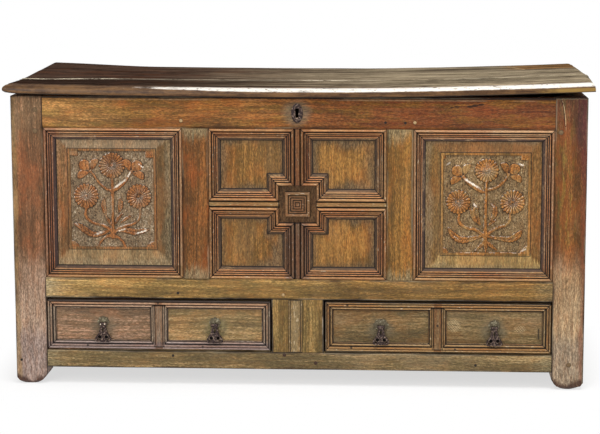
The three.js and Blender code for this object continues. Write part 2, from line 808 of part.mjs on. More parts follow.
function buildCentrePanel() {
  const openingX = [-muntinInner, muntinInner];
  const openingZ = [panelOpeningLow, panelOpeningHigh];
  const middleZ = (panelOpeningLow + panelOpeningHigh) / 2;
  const baseY = panelFaceY - JOINT_GAP;
  const panel = block(grown(openingX, panelReach), [panelFaceY, panelBackY], grown(openingZ, panelReach));
  addPart("centre_panel", panel, finishes.panelOak);

  // Four notched frames, held together by the crossing fillets between them
  const recess = CROSS_GAP / 2 + CROSS_NOTCH;
  const armX = [recess, muntinInner - JOINT_GAP];
  const armZ = [recess, PANEL_OPENING_HEIGHT / 2 - JOINT_GAP];
  const layers = [
    { half: CROSS_GAP / 2, y: [baseY - CROSS_WEB_HEIGHT, baseY] },
    { half: CROSS_FILLET_WIDTH / 2, y: [baseY - CROSS_FILLET_HEIGHT, baseY] },
  ];
  const pieces = [];
  for (const way of [-1, 1]) {
    for (const up of [-1, 1]) {
      pieces.push(
        mitredFrame(
          crossFrameCorners(way, up, middleZ),
          mouldingProfileShares,
          MOULDING_WIDTH,
          MOULDING_HEIGHT,
          baseY,
        ),
      );
    }
    for (const { half, y } of layers) {
      const across = [-half, half];
      const upwards = onSide(way, armZ).map((z) => middleZ + z);
      pieces.push(block(onSide(way, armX), y, [middleZ - half, middleZ + half]));
      pieces.push(block(across, y, upwards));
    }
  }
  addPart("centre_moulding", pieces.reduce((whole, piece) => whole.add(piece)), finishes.mouldingOak);

  const half = BOSS_WIDTH / 2;
  const boss = steppedBlock(
    bossProfileShares.map(([across, up]) => ({
      across: [-half * across, half * across],
      up: [middleZ - half * across, middleZ + half * across],
      at: baseY - BOSS_HEIGHT * up,
    })),
    facingFront,
  );
  addPart("centre_boss", boss, finishes.mouldingOak);
}

function buildBackPanel() {
  const panel = block(
    grown(longRun, panelReach),
    grown(backGroove, -JOINT_GAP),
    grown([drawerOpeningLow, panelOpeningHigh], panelReach),
  ).subtract(
    block(
      longRun,
      [backGroove[0] - CUT_OVERRUN, backGroove[0] + JOINT_GAP + FLOOR_HOUSING_DEPTH],
      [floorLow - JOINT_GAP, floorLow + FLOOR_THICKNESS + JOINT_GAP],
    ),
  );
  addPart("back_panel", panel, finishes.insideOak);
}

// The floor of the chest, housed in the middle rail and in the back, and notched round the posts
function buildChestFloor() {
  let floor = block(
    grown([-sideGroove[0], sideGroove[0]], -JOINT_GAP),
    [frontRailBack - panelReach, backGroove[0] + FLOOR_HOUSING_DEPTH],
    [floorLow, floorLow + FLOOR_THICKNESS],
  );
  for (const side of [-1, 1]) {
    for (const end of ["front", "rear"]) {
      const spans = postSpans(side, end);
      floor = floor.subtract(
        block(
          onSide(side, [postInner - JOINT_GAP, frameHalf]),
          grown(spans.y, JOINT_GAP),
          grown([floorLow, floorLow + FLOOR_THICKNESS], CUT_OVERRUN),
        ),
      );
    }
  }
  addPart("chest_floor", floor, finishes.insideOak);
}

// Runners that carry the drawers' sides, with guides that keep them straight

function buildRunner(name, x, guideX, tenonX) {
  const y = [frontRailBack + JOINT_GAP, backRailFront - JOINT_GAP];
  let runner = block(x, y, [drawerOpeningLow - RUNNER_HEIGHT, drawerOpeningLow]).add(
    block(guideX, y, [drawerOpeningLow - RUNNER_HEIGHT, drawerOpeningLow + RUNNER_GUIDE_HEIGHT]),
  );
  for (const side of [-1, 1]) {
    for (const end of ["front", "rear"]) {
      const spans = postSpans(side, end);
      runner = runner.subtract(
        block(grown(spans.x, JOINT_GAP), grown(spans.y, JOINT_GAP), [bottomRailLow, drawerOpeningHigh]),
      );
    }
  }
  for (const end of ["front", "back"]) {
    runner = runner.add(peg(runnerTenon(tenonX, end)));
  }
  addPart(name, runner, finishes.insideOak);
}

function buildRunners() {
  for (const side of [-1, 1]) {
    buildRunner(
      `${sideName(side)}_runner`,
      onSide(side, [runnerInner, postInner + RUNNER_GUIDE_WIDTH]),
      onSide(side, [postInner, postInner + RUNNER_GUIDE_WIDTH]),
      onSide(side, [runnerInner, postInner]),
    );
  }
  const centreX = [-centreRunnerHalf, centreRunnerHalf];
  buildRunner("centre_runner", centreX, drawerMuntinX, centreX);
}

// Lid boards: a slab moulded on its front and ends, its ends bowed up, split along the joint

function lidBow(x) {
  const share = x / (frameHalf + LID_END_OVERHANG);
  return LID_BOW * share * share;
}

const lidLow = frameTop + JOINT_GAP;
const lidFront = frameFront - LID_FRONT_OVERHANG;

function lidSlab() {
  const half = frameHalf + LID_END_OVERHANG;
  const points = [];
  const triangles = [];
  const loop = 2 * (LID_BOW_STEPS + 1);
  lidEdgeProfileShares.forEach(([inwards, up], level) => {
    const inset = inwards * LID_EDGE_MOULDING;
    for (let step = 0; step < loop; step += 1) {
      const onFront = step <= LID_BOW_STEPS;
      const along = onFront ? step : loop - 1 - step;
      const x = (half - inset) * ((2 * along) / LID_BOW_STEPS - 1);
      const y = onFront ? lidFront + inset : frameBack;
      points.push(new THREE.Vector3(x, y, lidLow + up * LID_THICKNESS + lidBow(x)));
    }
    if (level > 0) {
      triangles.push(...quadsBetween((level - 1) * loop, level * loop, loop));
    }
  });
  const top = (lidEdgeProfileShares.length - 1) * loop;
  for (let step = 0; step < LID_BOW_STEPS; step += 1) {
    const front = step;
    const back = loop - 1 - step;
    triangles.push([front, back, front + 1], [front + 1, back, back - 1]);
    triangles.push(
      [top + front, top + front + 1, top + back],
      [top + front + 1, top + back - 1, top + back],
    );
  }
  return solid(closedGeometry(points, triangles));
}

function buildLidBoards() {
  const slab = lidSlab();
  const acrossAll = grown([-frameHalf, frameHalf], LID_END_OVERHANG + CUT_OVERRUN);
  const upAll = [lidLow - CUT_OVERRUN, lidLow + LID_THICKNESS + LID_BOW + CUT_OVERRUN];
  const joint = lidFront + LID_FRONT_BOARD_DEPTH;
  const front = slab.intersect(block(acrossAll, [lidFront - CUT_OVERRUN, joint - JOINT_GAP / 2], upAll));
  const rear = slab.intersect(block(acrossAll, [joint + JOINT_GAP / 2, frameBack + CUT_OVERRUN], upAll));
  addPart("lid_front_board", front, finishes.lidOak);
  addPart("lid_rear_board", rear, finishes.lidOak);
}

// Strap hinges: a long strap under the lid boards, turning on a pin held by a leaf behind the back rail

function strapX(side) {
  const middle = side * (frameHalf - HINGE_INSET);
  return [middle - STRAP_WIDTH / 2, middle + STRAP_WIDTH / 2];
}

function strapHigh(side) {
  const x = strapX(side);
  const nearest = Math.min(Math.abs(x[0]), Math.abs(x[1]));
  return lidLow + lidBow(nearest) - JOINT_GAP;
}

function strapLow(side) {
  return strapHigh(side) - STRAP_THICKNESS;
}

const hingeAxisY = frameBack + KNUCKLE_STANDOFF + KNUCKLE_RADIUS;

function buildHinge(side) {
  const x = strapX(side);
  const axisZ = strapHigh(side) - KNUCKLE_RADIUS;
  const third = STRAP_WIDTH / 3;
  const middle = [x[0] + third, x[1] - third];
  const knuckle = grown(middle, -JOINT_GAP);
  const bar = block(
    x,
    [frameFront + STRAP_FRONT_MARGIN, frameBack - BACK_RAIL_THICKNESS / 2],
    [strapLow(side), strapHigh(side)],
  );
  const neck = block(knuckle, [frameBack - BACK_RAIL_THICKNESS, hingeAxisY], [strapLow(side), strapHigh(side)]);
  const strap = bar
    .add(neck)
    .add(barX(KNUCKLE_RADIUS, knuckle, hingeAxisY, axisZ))
    .subtract(barX(HINGE_PIN_RADIUS + HINGE_BORE_PLAY, grown(knuckle, CUT_OVERRUN), hingeAxisY, axisZ));
  addPart(`${sideName(side)}_hinge_strap`, strap, finishes.iron);

  const leafY = [frameBack + JOINT_GAP, frameBack + JOINT_GAP + HINGE_LEAF_THICKNESS];
  const plate = block(x, leafY, [axisZ - HINGE_LEAF_HEIGHT, axisZ]);
  const gapForKnuckle = block(
    middle,
    grown(leafY, CUT_OVERRUN),
    [axisZ - KNUCKLE_RADIUS - HINGE_BORE_PLAY, axisZ + CUT_OVERRUN],
  );
  const leaf = plate
    .subtract(gapForKnuckle)
    .add(barX(KNUCKLE_RADIUS, [x[0], middle[0]], hingeAxisY, axisZ))
    .add(barX(KNUCKLE_RADIUS, [middle[1], x[1]], hingeAxisY, axisZ))
    .add(barX(HINGE_PIN_RADIUS, x, hingeAxisY, axisZ));
  addPart(`${sideName(side)}_hinge_leaf`, leaf, finishes.iron);
}

// Lock in the top rail

const keyholeZ = frameTop - KEYHOLE_DROP;

function keyholeOutline() {
  const half = KEYHOLE_SLOT_WIDTH / 2;
  const meeting = Math.asin(half / KEYHOLE_RADIUS);
  const outline = new THREE.Shape();
  outline.moveTo(-half, keyholeZ - KEYHOLE_SLOT_LENGTH);
  outline.lineTo(half, keyholeZ - KEYHOLE_SLOT_LENGTH);
  outline.lineTo(half, keyholeZ - KEYHOLE_RADIUS * Math.cos(meeting));
  outline.absarc(0, keyholeZ, KEYHOLE_RADIUS, meeting - Math.PI / 2, (3 * Math.PI) / 2 - meeting, false);
  outline.closePath();
  return outline;
}

function keyholeCut(y) {
  return prismY(keyholeOutline(), y);
}

function buildEscutcheon() {
  const middleZ = keyholeZ - KEYHOLE_SLOT_LENGTH / 2 + KEYHOLE_RADIUS / 2;
  const outline = new THREE.Shape();
  outline.absellipse(0, middleZ, ESCUTCHEON_WIDTH / 2, ESCUTCHEON_HEIGHT / 2, 0, 2 * Math.PI, false, 0);
  const y = [frameFront - JOINT_GAP - ESCUTCHEON_THICKNESS, frameFront - JOINT_GAP];
  addPart("keyhole_escutcheon", prismY(outline, y).subtract(keyholeCut(grown(y, CUT_OVERRUN))), finishes.iron);
}

const lockCaseY = [frontRailBack + JOINT_GAP, frontRailBack + JOINT_GAP + LOCK_CASE_DEPTH];
const lockCaseZ = [frameTop - LOCK_CASE_DROP - LOCK_CASE_HEIGHT, frameTop - LOCK_CASE_DROP];
const lockMiddleY = (lockCaseY[0] + lockCaseY[1]) / 2;
const boltZ = [keyholeZ + BOLT_RISE, keyholeZ + BOLT_RISE + BOLT_HEIGHT];
const stapleX = [STAPLE_OFFSET - STAPLE_THICKNESS / 2, STAPLE_OFFSET + STAPLE_THICKNESS / 2];
const stapleOuterHalf = STAPLE_EYE_WIDTH / 2 + STAPLE_LEG;
const boltTip = stapleX[0] - BOLT_TO_STAPLE_GAP;
const boltX = [boltTip - BOLT_LENGTH, boltTip];

function buildLock() {
  const caseX = [-LOCK_CASE_WIDTH / 2, LOCK_CASE_WIDTH / 2];
  const ledgeTop = boltZ[0] - JOINT_GAP;
  const ledge = block(
    boltX,
    grown(lockCaseY, -LOCK_CASE_WALL / 2),
    [ledgeTop - BOLT_LEDGE_THICKNESS, ledgeTop],
  );
  const slot = block(
    grown(stapleX, STAPLE_SLOT_PLAY),
    grown(lockCaseY, -LOCK_CASE_WALL),
    [lockCaseZ[1] - LOCK_CASE_WALL - CUT_OVERRUN, lockCaseZ[1] + CUT_OVERRUN],
  );
  const lockCase = block(caseX, lockCaseY, lockCaseZ)
    .subtract(
      block(grown(caseX, -LOCK_CASE_WALL), grown(lockCaseY, -LOCK_CASE_WALL), grown(lockCaseZ, -LOCK_CASE_WALL)),
    )
    .add(ledge)
    .subtract(slot)
    .subtract(keyholeCut([lockCaseY[0] - CUT_OVERRUN, lockCaseY[0] + LOCK_CASE_WALL + CUT_OVERRUN]));
  addPart("lock_case", lockCase, finishes.iron);

  const boltHalf = BOLT_THICKNESS / 2;
  addPart("lock_bolt", block(boltX, [lockMiddleY - boltHalf, lockMiddleY + boltHalf], boltZ), finishes.iron);
}

function buildStaple() {
  const eyeLow = boltZ[0] - STAPLE_EYE_PLAY;
  const plateZ = [lidLow - JOINT_GAP - STAPLE_PLATE_THICKNESS, lidLow - JOINT_GAP];
  const plateMiddle = (stapleX[0] + stapleX[1]) / 2;
  const plate = block(
    [plateMiddle - STAPLE_PLATE_WIDTH / 2, plateMiddle + STAPLE_PLATE_WIDTH / 2],
    [frontRailBack + JOINT_GAP, frontRailBack + JOINT_GAP + STAPLE_PLATE_DEPTH],
    plateZ,
  );
  const loop = block(
    stapleX,
    [lockMiddleY - stapleOuterHalf, lockMiddleY + stapleOuterHalf],
    [eyeLow - STAPLE_LEG, plateZ[1]],
  );
  const eye = block(
    grown(stapleX, CUT_OVERRUN),
    [lockMiddleY - STAPLE_EYE_WIDTH / 2, lockMiddleY + STAPLE_EYE_WIDTH / 2],
    [eyeLow, plateZ[0]],
  );
  addPart("lock_staple", plate.add(loop).subtract(eye), finishes.iron);
}

// Drawers

function drawerPlaces(side) {
  const x = onSide(side, grown([drawerMuntinHalf, postInner], -DRAWER_SIDE_CLEARANCE));
  const faceY = frameFront + DRAWER_FRONT_SETBACK;
  return {
    x,
    z: [drawerOpeningLow + JOINT_GAP, drawerOpeningHigh - DRAWER_TOP_CLEARANCE],
    faceY,
    frontBackY: faceY + DRAWER_FRONT_THICKNESS,
    endY: backRailFront - DRAWER_BACK_CLEARANCE,
    innerX: grown(x, -DRAWER_SIDE_THICKNESS),
  };
}

function buildDrawerBox(name, at) {
  const sideZ = [at.z[0], at.z[0] + DRAWER_SIDE_HEIGHT];
  const bottomZ = [at.z[0] + DRAWER_BOTTOM_RISE, at.z[0] + DRAWER_BOTTOM_RISE + DRAWER_BOTTOM_THICKNESS];
  const bottomX = grown(at.innerX, DRAWER_BOTTOM_GROOVE);
  const bottomY = [at.frontBackY - DRAWER_BOTTOM_GROOVE, at.endY];
  const grooveCut = block(
    grown(bottomX, JOINT_GAP),
    [bottomY[0] - JOINT_GAP, bottomY[1] + CUT_OVERRUN],
    grown(bottomZ, JOINT_GAP),
  );

  let front = block(at.x, [at.faceY, at.frontBackY], at.z);
  const sides = [
    { label: "left", x: [at.x[0], at.innerX[0]] },
    { label: "right", x: [at.innerX[1], at.x[1]] },
  ];
  for (const { label, x } of sides) {
    const y = [at.frontBackY - DRAWER_SIDE_LAP + JOINT_GAP, at.endY];
    const rebateX = label === "left" ? [x[0] - CUT_OVERRUN, x[1] + JOINT_GAP] : [x[0] - JOINT_GAP, x[1] + CUT_OVERRUN];
    front = front.subtract(
      block(
        rebateX,
        [at.frontBackY - DRAWER_SIDE_LAP, at.frontBackY + CUT_OVERRUN],
        [sideZ[0] - CUT_OVERRUN, sideZ[1] + JOINT_GAP],
      ),
    );
    addPart(`${name}_${label}_side`, block(x, y, sideZ).subtract(grooveCut), finishes.insideOak);
  }
  addPart(`${name}_front`, front.subtract(grooveCut), finishes.panelOak);
  addPart(`${name}_bottom`, block(bottomX, bottomY, bottomZ), finishes.insideOak);
  addPart(
    `${name}_back`,
    block(
      grown(at.innerX, -JOINT_GAP),
      [at.endY - DRAWER_BACK_THICKNESS, at.endY],
      [bottomZ[1] + JOINT_GAP, sideZ[1]],
    ),
    finishes.insideOak,
  );
}

// Planted mouldings on a drawer front: a border, a beaded field on each side and a round-footed strip between
function drawerFields(at) {
  const border = {
    x: at.x,
    z: [at.z[0] + DRAWER_BORDER_LIFT, at.z[1]],
  };
  const middleX = (at.x[0] + at.x[1]) / 2;
  const inner = {
    x: grown(border.x, -DRAWER_BORDER_WIDTH),
    z: grown(border.z, -DRAWER_BORDER_WIDTH),
  };
  const fields = [
    [inner.x[0], middleX - DRAWER_STRIP_WIDTH / 2],
    [middleX + DRAWER_STRIP_WIDTH / 2, inner.x[1]],
  ];
  return { border, inner, fields, middleX };
}

function buildDrawerMoulding(name, at) {
  const { border, inner, fields, middleX } = drawerFields(at);
  const baseY = at.faceY - JOINT_GAP;
  let moulding = mitredFrame(
    rectangle(border.x, border.z),
    borderProfileShares,
    DRAWER_BORDER_WIDTH,
    DRAWER_BORDER_HEIGHT,
    baseY,
  );
  for (const fieldX of fields) {
    const bead = mitredFrame(
      rectangle(fieldX, inner.z),
      beadProfileShares,
      DRAWER_BEAD_WIDTH,
      DRAWER_BEAD_HEIGHT,
      baseY,
    );
    moulding = moulding.add(bead);
  }
  const stripRadius = DRAWER_STRIP_WIDTH / 2;
  const stripFoot = inner.z[0] - DRAWER_STRIP_OVERLAP + stripRadius;
  const strip = new THREE.Shape();
  strip.moveTo(middleX + stripRadius, inner.z[1]);
  strip.lineTo(middleX - stripRadius, inner.z[1]);
  strip.lineTo(middleX - stripRadius, stripFoot);
  strip.absarc(middleX, stripFoot, stripRadius, Math.PI, 2 * Math.PI, false);
  strip.closePath();
  moulding = moulding.add(prismY(strip, [baseY - DRAWER_STRIP_HEIGHT, baseY]));
  addPart(`${name}_moulding`, moulding, finishes.mouldingOak);
}

// Drop handles: a round plate with two lugs and a pin, and a pierced drop that swings on the pin

function handlePinPlace(at, middleX) {
  return {
    x: middleX,
    y: at.faceY - JOINT_GAP - HANDLE_PLATE_THICKNESS - HANDLE_PIN_STANDOFF,
    z: at.z[0] + HANDLE_RISE,
  };
}

function buildHandle(name, at, middleX) {
  const pin = handlePinPlace(at, middleX);
  const plateY = [at.faceY - JOINT_GAP - HANDLE_PLATE_THICKNESS, at.faceY - JOINT_GAP];
  const disc = new THREE.Shape();
  disc.absarc(pin.x, pin.z + HANDLE_PLATE_LIFT, HANDLE_PLATE_RADIUS, 0, 2 * Math.PI, false);
  let plate = prismY(disc, plateY);
  const lugInner = HANDLE_BARREL_LENGTH / 2 + HANDLE_LUG_PLAY;
  for (const side of [-1, 1]) {
    const lugX = onSide(side, [lugInner, lugInner + HANDLE_LUG_WIDTH]).map((x) => pin.x + x);
    plate = plate.add(
      block(
        lugX,
        [pin.y - HANDLE_LUG_HALF_HEIGHT, plateY[0] + HANDLE_PLATE_THICKNESS / 2],
        grown([pin.z, pin.z], HANDLE_LUG_HALF_HEIGHT),
      ),
    );
  }
  plate = plate.add(
    barX(HANDLE_PIN_RADIUS, grown([pin.x, pin.x], lugInner + HANDLE_LUG_WIDTH / 2), pin.y, pin.z),
  );
  addPart(`${name}_plate`, plate, finishes.iron);

  const rightEdge = dropOutlineShares.map(([across, down]) => [
    pin.x + across * DROP_WIDTH,
    pin.z - down * DROP_LENGTH,
  ]);
  const leftEdge = rightEdge.map(([x, z]) => [2 * pin.x - x, z]).reverse();
  const outline = shapeOf([...rightEdge, ...leftEdge]);
  for (const side of [-1, 1]) {
    const eye = new THREE.Path();
    eye.absarc(
      pin.x + side * DROP_EYE_ACROSS_SHARE * DROP_WIDTH,
      pin.z - DROP_EYE_DOWN_SHARE * DROP_LENGTH,
      DROP_EYE_RADIUS,
      0,
      2 * Math.PI,
      false,
    );
    outline.holes.push(eye);
  }
  const barrelX = grown([pin.x, pin.x], HANDLE_BARREL_LENGTH / 2);
  const drop = prismY(outline, grown([pin.y, pin.y], DROP_THICKNESS / 2))
    .add(barX(HANDLE_BARREL_RADIUS, barrelX, pin.y, pin.z))
    .subtract(barX(HANDLE_PIN_RADIUS + HANDLE_BORE_PLAY, grown(barrelX, CUT_OVERRUN), pin.y, pin.z));
  addPart(`${name}_drop`, drop, finishes.iron);
}

function buildDrawer(side) {
  const name = `${sideName(side)}_drawer`;
  const at = drawerPlaces(side);
  buildDrawerBox(name, at);
  buildDrawerMoulding(name, at);
  drawerFields(at).fields.forEach((fieldX, index) => {
    const label = index === 0 ? "left" : "right";
    buildHandle(`${name}_${label}`, at, (fieldX[0] + fieldX[1]) / 2);
  });
}

// The whole chest

for (const side of [-1, 1]) {
  for (const end of ["front", "rear"]) {
    buildPost(side, end);
  }
  buildSideFrame(side);
  buildCarvedPanel(side);
  buildHinge(side);
  buildDrawer(side);
}
buildFrontTopRail();
buildFrontMiddleRail();
buildFrontBottomRail();
buildBackRails();
buildMuntins();
buildCentrePanel();
buildBackPanel();
buildChestFloor();
buildRunners();
buildLidBoards();
buildEscutcheon();
buildLock();
buildStaple();

export default chest;
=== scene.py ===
"""Looks of a joined oak mule chest: worn boards, mitred mouldings, carved panels, handles and iron work."""
import math
from contextlib import contextmanager
from types import SimpleNamespace

import bmesh
import bpy
import numpy as np
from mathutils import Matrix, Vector, noise


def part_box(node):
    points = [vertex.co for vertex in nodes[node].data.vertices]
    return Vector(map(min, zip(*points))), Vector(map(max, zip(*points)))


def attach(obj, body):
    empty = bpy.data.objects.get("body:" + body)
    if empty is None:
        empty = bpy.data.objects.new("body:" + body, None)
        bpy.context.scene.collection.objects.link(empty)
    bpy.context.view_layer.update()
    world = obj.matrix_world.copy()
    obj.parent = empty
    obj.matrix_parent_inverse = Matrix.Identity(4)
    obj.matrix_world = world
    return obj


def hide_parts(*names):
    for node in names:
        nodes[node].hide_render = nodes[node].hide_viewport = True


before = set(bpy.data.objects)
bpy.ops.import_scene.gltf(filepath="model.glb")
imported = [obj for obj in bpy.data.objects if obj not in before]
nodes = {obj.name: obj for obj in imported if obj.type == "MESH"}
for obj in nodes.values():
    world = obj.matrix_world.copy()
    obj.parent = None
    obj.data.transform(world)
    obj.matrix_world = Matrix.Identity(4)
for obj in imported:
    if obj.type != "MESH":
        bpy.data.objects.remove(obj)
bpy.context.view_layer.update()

MM = 0.001
WHITE = (1, 1, 1, 1)
SIDES = {"left": -1, "right": 1}


# Camera

CAMERA_PLACE = (0.265, -4.077, 1.110)
CAMERA_PITCH = math.radians(90 - 7.1)
CAMERA_YAW = math.radians(2.55)
CAMERA_LENS = 95.5
CAMERA_SHIFT = (-0.0605, -0.1415)
CAMERA_REACH = 60

bpy.ops.object.camera_add(location=CAMERA_PLACE, rotation=(CAMERA_PITCH, 0, CAMERA_YAW))
camera = bpy.context.object
camera.data.lens = CAMERA_LENS
camera.data.shift_x, camera.data.shift_y = CAMERA_SHIFT
camera.data.clip_end = CAMERA_REACH
bpy.context.scene.camera = camera
bpy.context.scene.view_settings.view_transform = "Standard"


# Shader maths

WAX_ROUGHNESS = 0.28


class Term:
    """A number or a vector that varies over a surface. A sum on it adds Math nodes."""

    def __init__(self, finish, socket):
        self.finish = finish
        self.socket = socket

    def __add__(self, other):
        return self.finish.math("ADD", self, other)

    def __radd__(self, other):
        return self.finish.math("ADD", other, self)

    def __sub__(self, other):
        return self.finish.math("SUBTRACT", self, other)

    def __rsub__(self, other):
        return self.finish.math("SUBTRACT", other, self)

    def __mul__(self, other):
        return self.finish.math("MULTIPLY", self, other)

    def __rmul__(self, other):
        return self.finish.math("MULTIPLY", other, self)

    def __truediv__(self, other):
        return self.finish.math("DIVIDE", self, other)

    def __pow__(self, other):
        return self.finish.math("POWER", self, other)

    def least(self, other):
        """The lesser of two at each place."""
        return self.finish.math("MINIMUM", self, other)

    def most(self, other):
        """The greater of two at each place."""
        return self.finish.math("MAXIMUM", self, other)

    def size(self):
        """The number without its sign."""
        return self.finish.math("ABSOLUTE", self)

    def ramp(self, low, high):
        """0 below low, 1 above high, and a smooth rise between. With high under low it falls instead."""
        if high < low:
            return 1 - self.ramp(high, low)
        return self.finish.add("ShaderNodeMapRange", {"interpolation_type": "SMOOTHSTEP"},
                               {"Value": self, "From Min": low, "From Max": high})

    def mix(self, other, share):
        """This colour, going over to another where share is 1."""
        return self.finish.mix(self, other, share)

    def stain(self, factor, share=1.0):
        """This colour, multiplied by another where share is 1."""
        settings = {"data_type": "RGBA", "blend_type": "MULTIPLY", "clamp_factor": True}
        return self.finish.add("ShaderNodeMix", settings, {0: share, 6: self, 7: factor}, output=2)

    def shade(self, share):
        """This colour, darkened to share of itself."""
        return self.stain(self.finish.join(share, share, share))


class Finish:
    """The nodes of a material or of a world, and the calls that add them."""

    def __init__(self, owner, shader="Principled BSDF"):
        owner.use_nodes = True
        self.owner = owner
        self.tree = owner.node_tree
        self.shader = self.tree.nodes[shader]

    def add(self, kind, settings=None, values=None, output=0):
        """Adds a node. Settings are its own properties, values its sockets' numbers or links.
        It gives one output of the node, or all of them by name where output is None."""
        node = self.tree.nodes.new(kind)
        for key, value in (settings or {}).items():
            setattr(node, key, value)
        for key, value in (values or {}).items():
            self.feed(node.inputs[key], value)
        if output is None:
            return {socket.name: Term(self, socket) for socket in node.outputs}
        return Term(self, node.outputs[output])

    def feed(self, socket, value):
        """Links a term to a socket, or sets the socket to a value."""
        if isinstance(value, Term):
            self.tree.links.new(value.socket, socket)
        else:
            socket.default_value = value

    def math(self, operation, *values):
        """One sum on terms or numbers."""
        return self.add("ShaderNodeMath", {"operation": operation}, dict(enumerate(values)))

    def mix(self, first, second, share):
        """The first colour, going over to the second where share is 1."""
        return self.add("ShaderNodeMix", {"data_type": "RGBA", "clamp_factor": True},
                        {0: share, 6: first, 7: second}, output=2)

    def place(self):
        """The place on the piece, in metres."""
        return self.add("ShaderNodeTexCoord", output="Object")

    def attribute(self, name, output="Fac"):
        """What the piece keeps for each vertex under a name."""
        return self.add("ShaderNodeAttribute", {"attribute_name": name}, output=output)

    def parts(self, vector):
        """The X, Y and Z of a vector."""
        return list(self.add("ShaderNodeSeparateXYZ", None, {0: vector}, output=None).values())

    def join(self, x, y, z):
        """A vector of three terms or numbers."""
        return self.add("ShaderNodeCombineXYZ", None, {"X": x, "Y": y, "Z": z})

    def noise(self, vector, cell, detail=2.0, rough=0.5):
        """Noise whose cells measure cell = (x, y, z) metres, or one number for all three."""
        size = cell if isinstance(cell, tuple) else (cell, cell, cell)
        scaled = self.add("ShaderNodeVectorMath", {"operation": "DIVIDE"}, {0: vector, 1: size})
        return self.add("ShaderNodeTexNoise", None,
                        {"Vector": scaled, "Scale": 1.0, "Detail": detail, "Roughness": rough})

    def surface(self, colour, rough, height=None, relief=0.001, specular=0.3, metallic=0.0, wax=None):
        """Joins what varies to the shader. Relief is the height of the bump in metres."""
        self.feed(self.shader.inputs["Base Color"], colour)
        self.feed(self.shader.inputs["Roughness"], rough)
        self.feed(self.shader.inputs["Metallic"], metallic)
        self.shader.inputs["Specular IOR Level"].default_value = specular
        if wax is not None:
            self.feed(self.shader.inputs["Coat Weight"], wax)
            self.shader.inputs["Coat Roughness"].default_value = WAX_ROUGHNESS
        if height is not None:
            bump = self.add("ShaderNodeBump", None, {"Height": height, "Distance": relief, "Strength": 1.0})
            self.feed(self.shader.inputs["Normal"], bump)
        return self.owner


def tone(red, green, blue):
    """A colour given in screen values from 0 to 255."""
    def linear(value):
        value /= 255
        return value / 12.92 if value <= 0.04045 else ((value + 0.055) / 1.055) ** 2.4
    return (linear(red), linear(green), linear(blue), 1.0)


def towards(target, source):
    """What a stain multiplies a colour by to turn it into another, both in screen values."""
    return tuple(a / b for a, b in zip(tone(*target), tone(*source)))


# Finishes

UMBER = tone(52, 33, 22)
# Near-black: soot, dark joints and marks, and also painted shade in gaps, quirks and under the lid
SOOT_AND_SHADE = tone(26, 19, 16)
# Pale dust, also standing for a painted highlight on rubbed edges
DUST_AND_HIGHLIGHT = tone(176, 162, 134)


def grain_place(finish, grain, seed):
    """The place on a board as (along, across, through) its grain, in metres."""
    if grain == "own":
        along, across, through = finish.parts(finish.attribute("grain", "Vector"))
    else:
        x, y, z = finish.parts(finish.place())
        along, across, through = {"X": (x, z, y), "Z": (z, x, y), "Y": (y, z, x)}[grain]
    return finish.join(along + seed, across + seed * 0.37, through + seed * 0.71)


def figure(finish, board):
    """What every oak board has: its broad bands, streaks, specks, pores and flecks, each from 0 to 1."""
    wander = finish.noise(board, (0.35, 0.12, 0.12), detail=1.0) - 0.5
    along, across, through = finish.parts(board)
    bent = finish.join(along, across + wander * 0.03, through + wander * 0.02)
    return SimpleNamespace(
        bands=finish.noise(bent, (0.45, 0.034, 0.034), detail=3.0).ramp(0.34, 0.66),
        streaks=finish.noise(bent, (0.14, 0.0060, 0.007), detail=4.0, rough=0.62).ramp(0.32, 0.68),
        fibres=finish.noise(bent, (0.045, 0.0016, 0.0020), detail=2.0, rough=0.6).ramp(0.30, 0.70),
        specks=finish.noise(bent, (0.0075, 0.0024, 0.0026), detail=3.0, rough=0.7).ramp(0.34, 0.66),
        pores=finish.noise(bent, (0.014, 0.0011, 0.0013), detail=1.0).ramp(0.58, 0.70),
        flecks=finish.noise(bent, (0.008, 0.0045, 0.0045), detail=2.0, rough=0.7).ramp(0.56, 0.68),
        blotches=finish.noise(board, (0.11, 0.060, 0.060), detail=4.0, rough=0.62),
        stains=finish.noise(board, (0.24, 0.10, 0.10), detail=4.0, rough=0.62),
    )


def edge_distance(finish, box):
    """How far a point on a face of a board is from the nearest edge of that face, in metres."""
    low, high = box
    x, y, z = finish.parts(finish.place())
    across = (x - low.x).least(high.x - x)
    deep = (y - low.y).least(high.y - y)
    up = (z - low.z).least(high.z - z)
    return across.least(deep).most(across.most(deep).least(up))


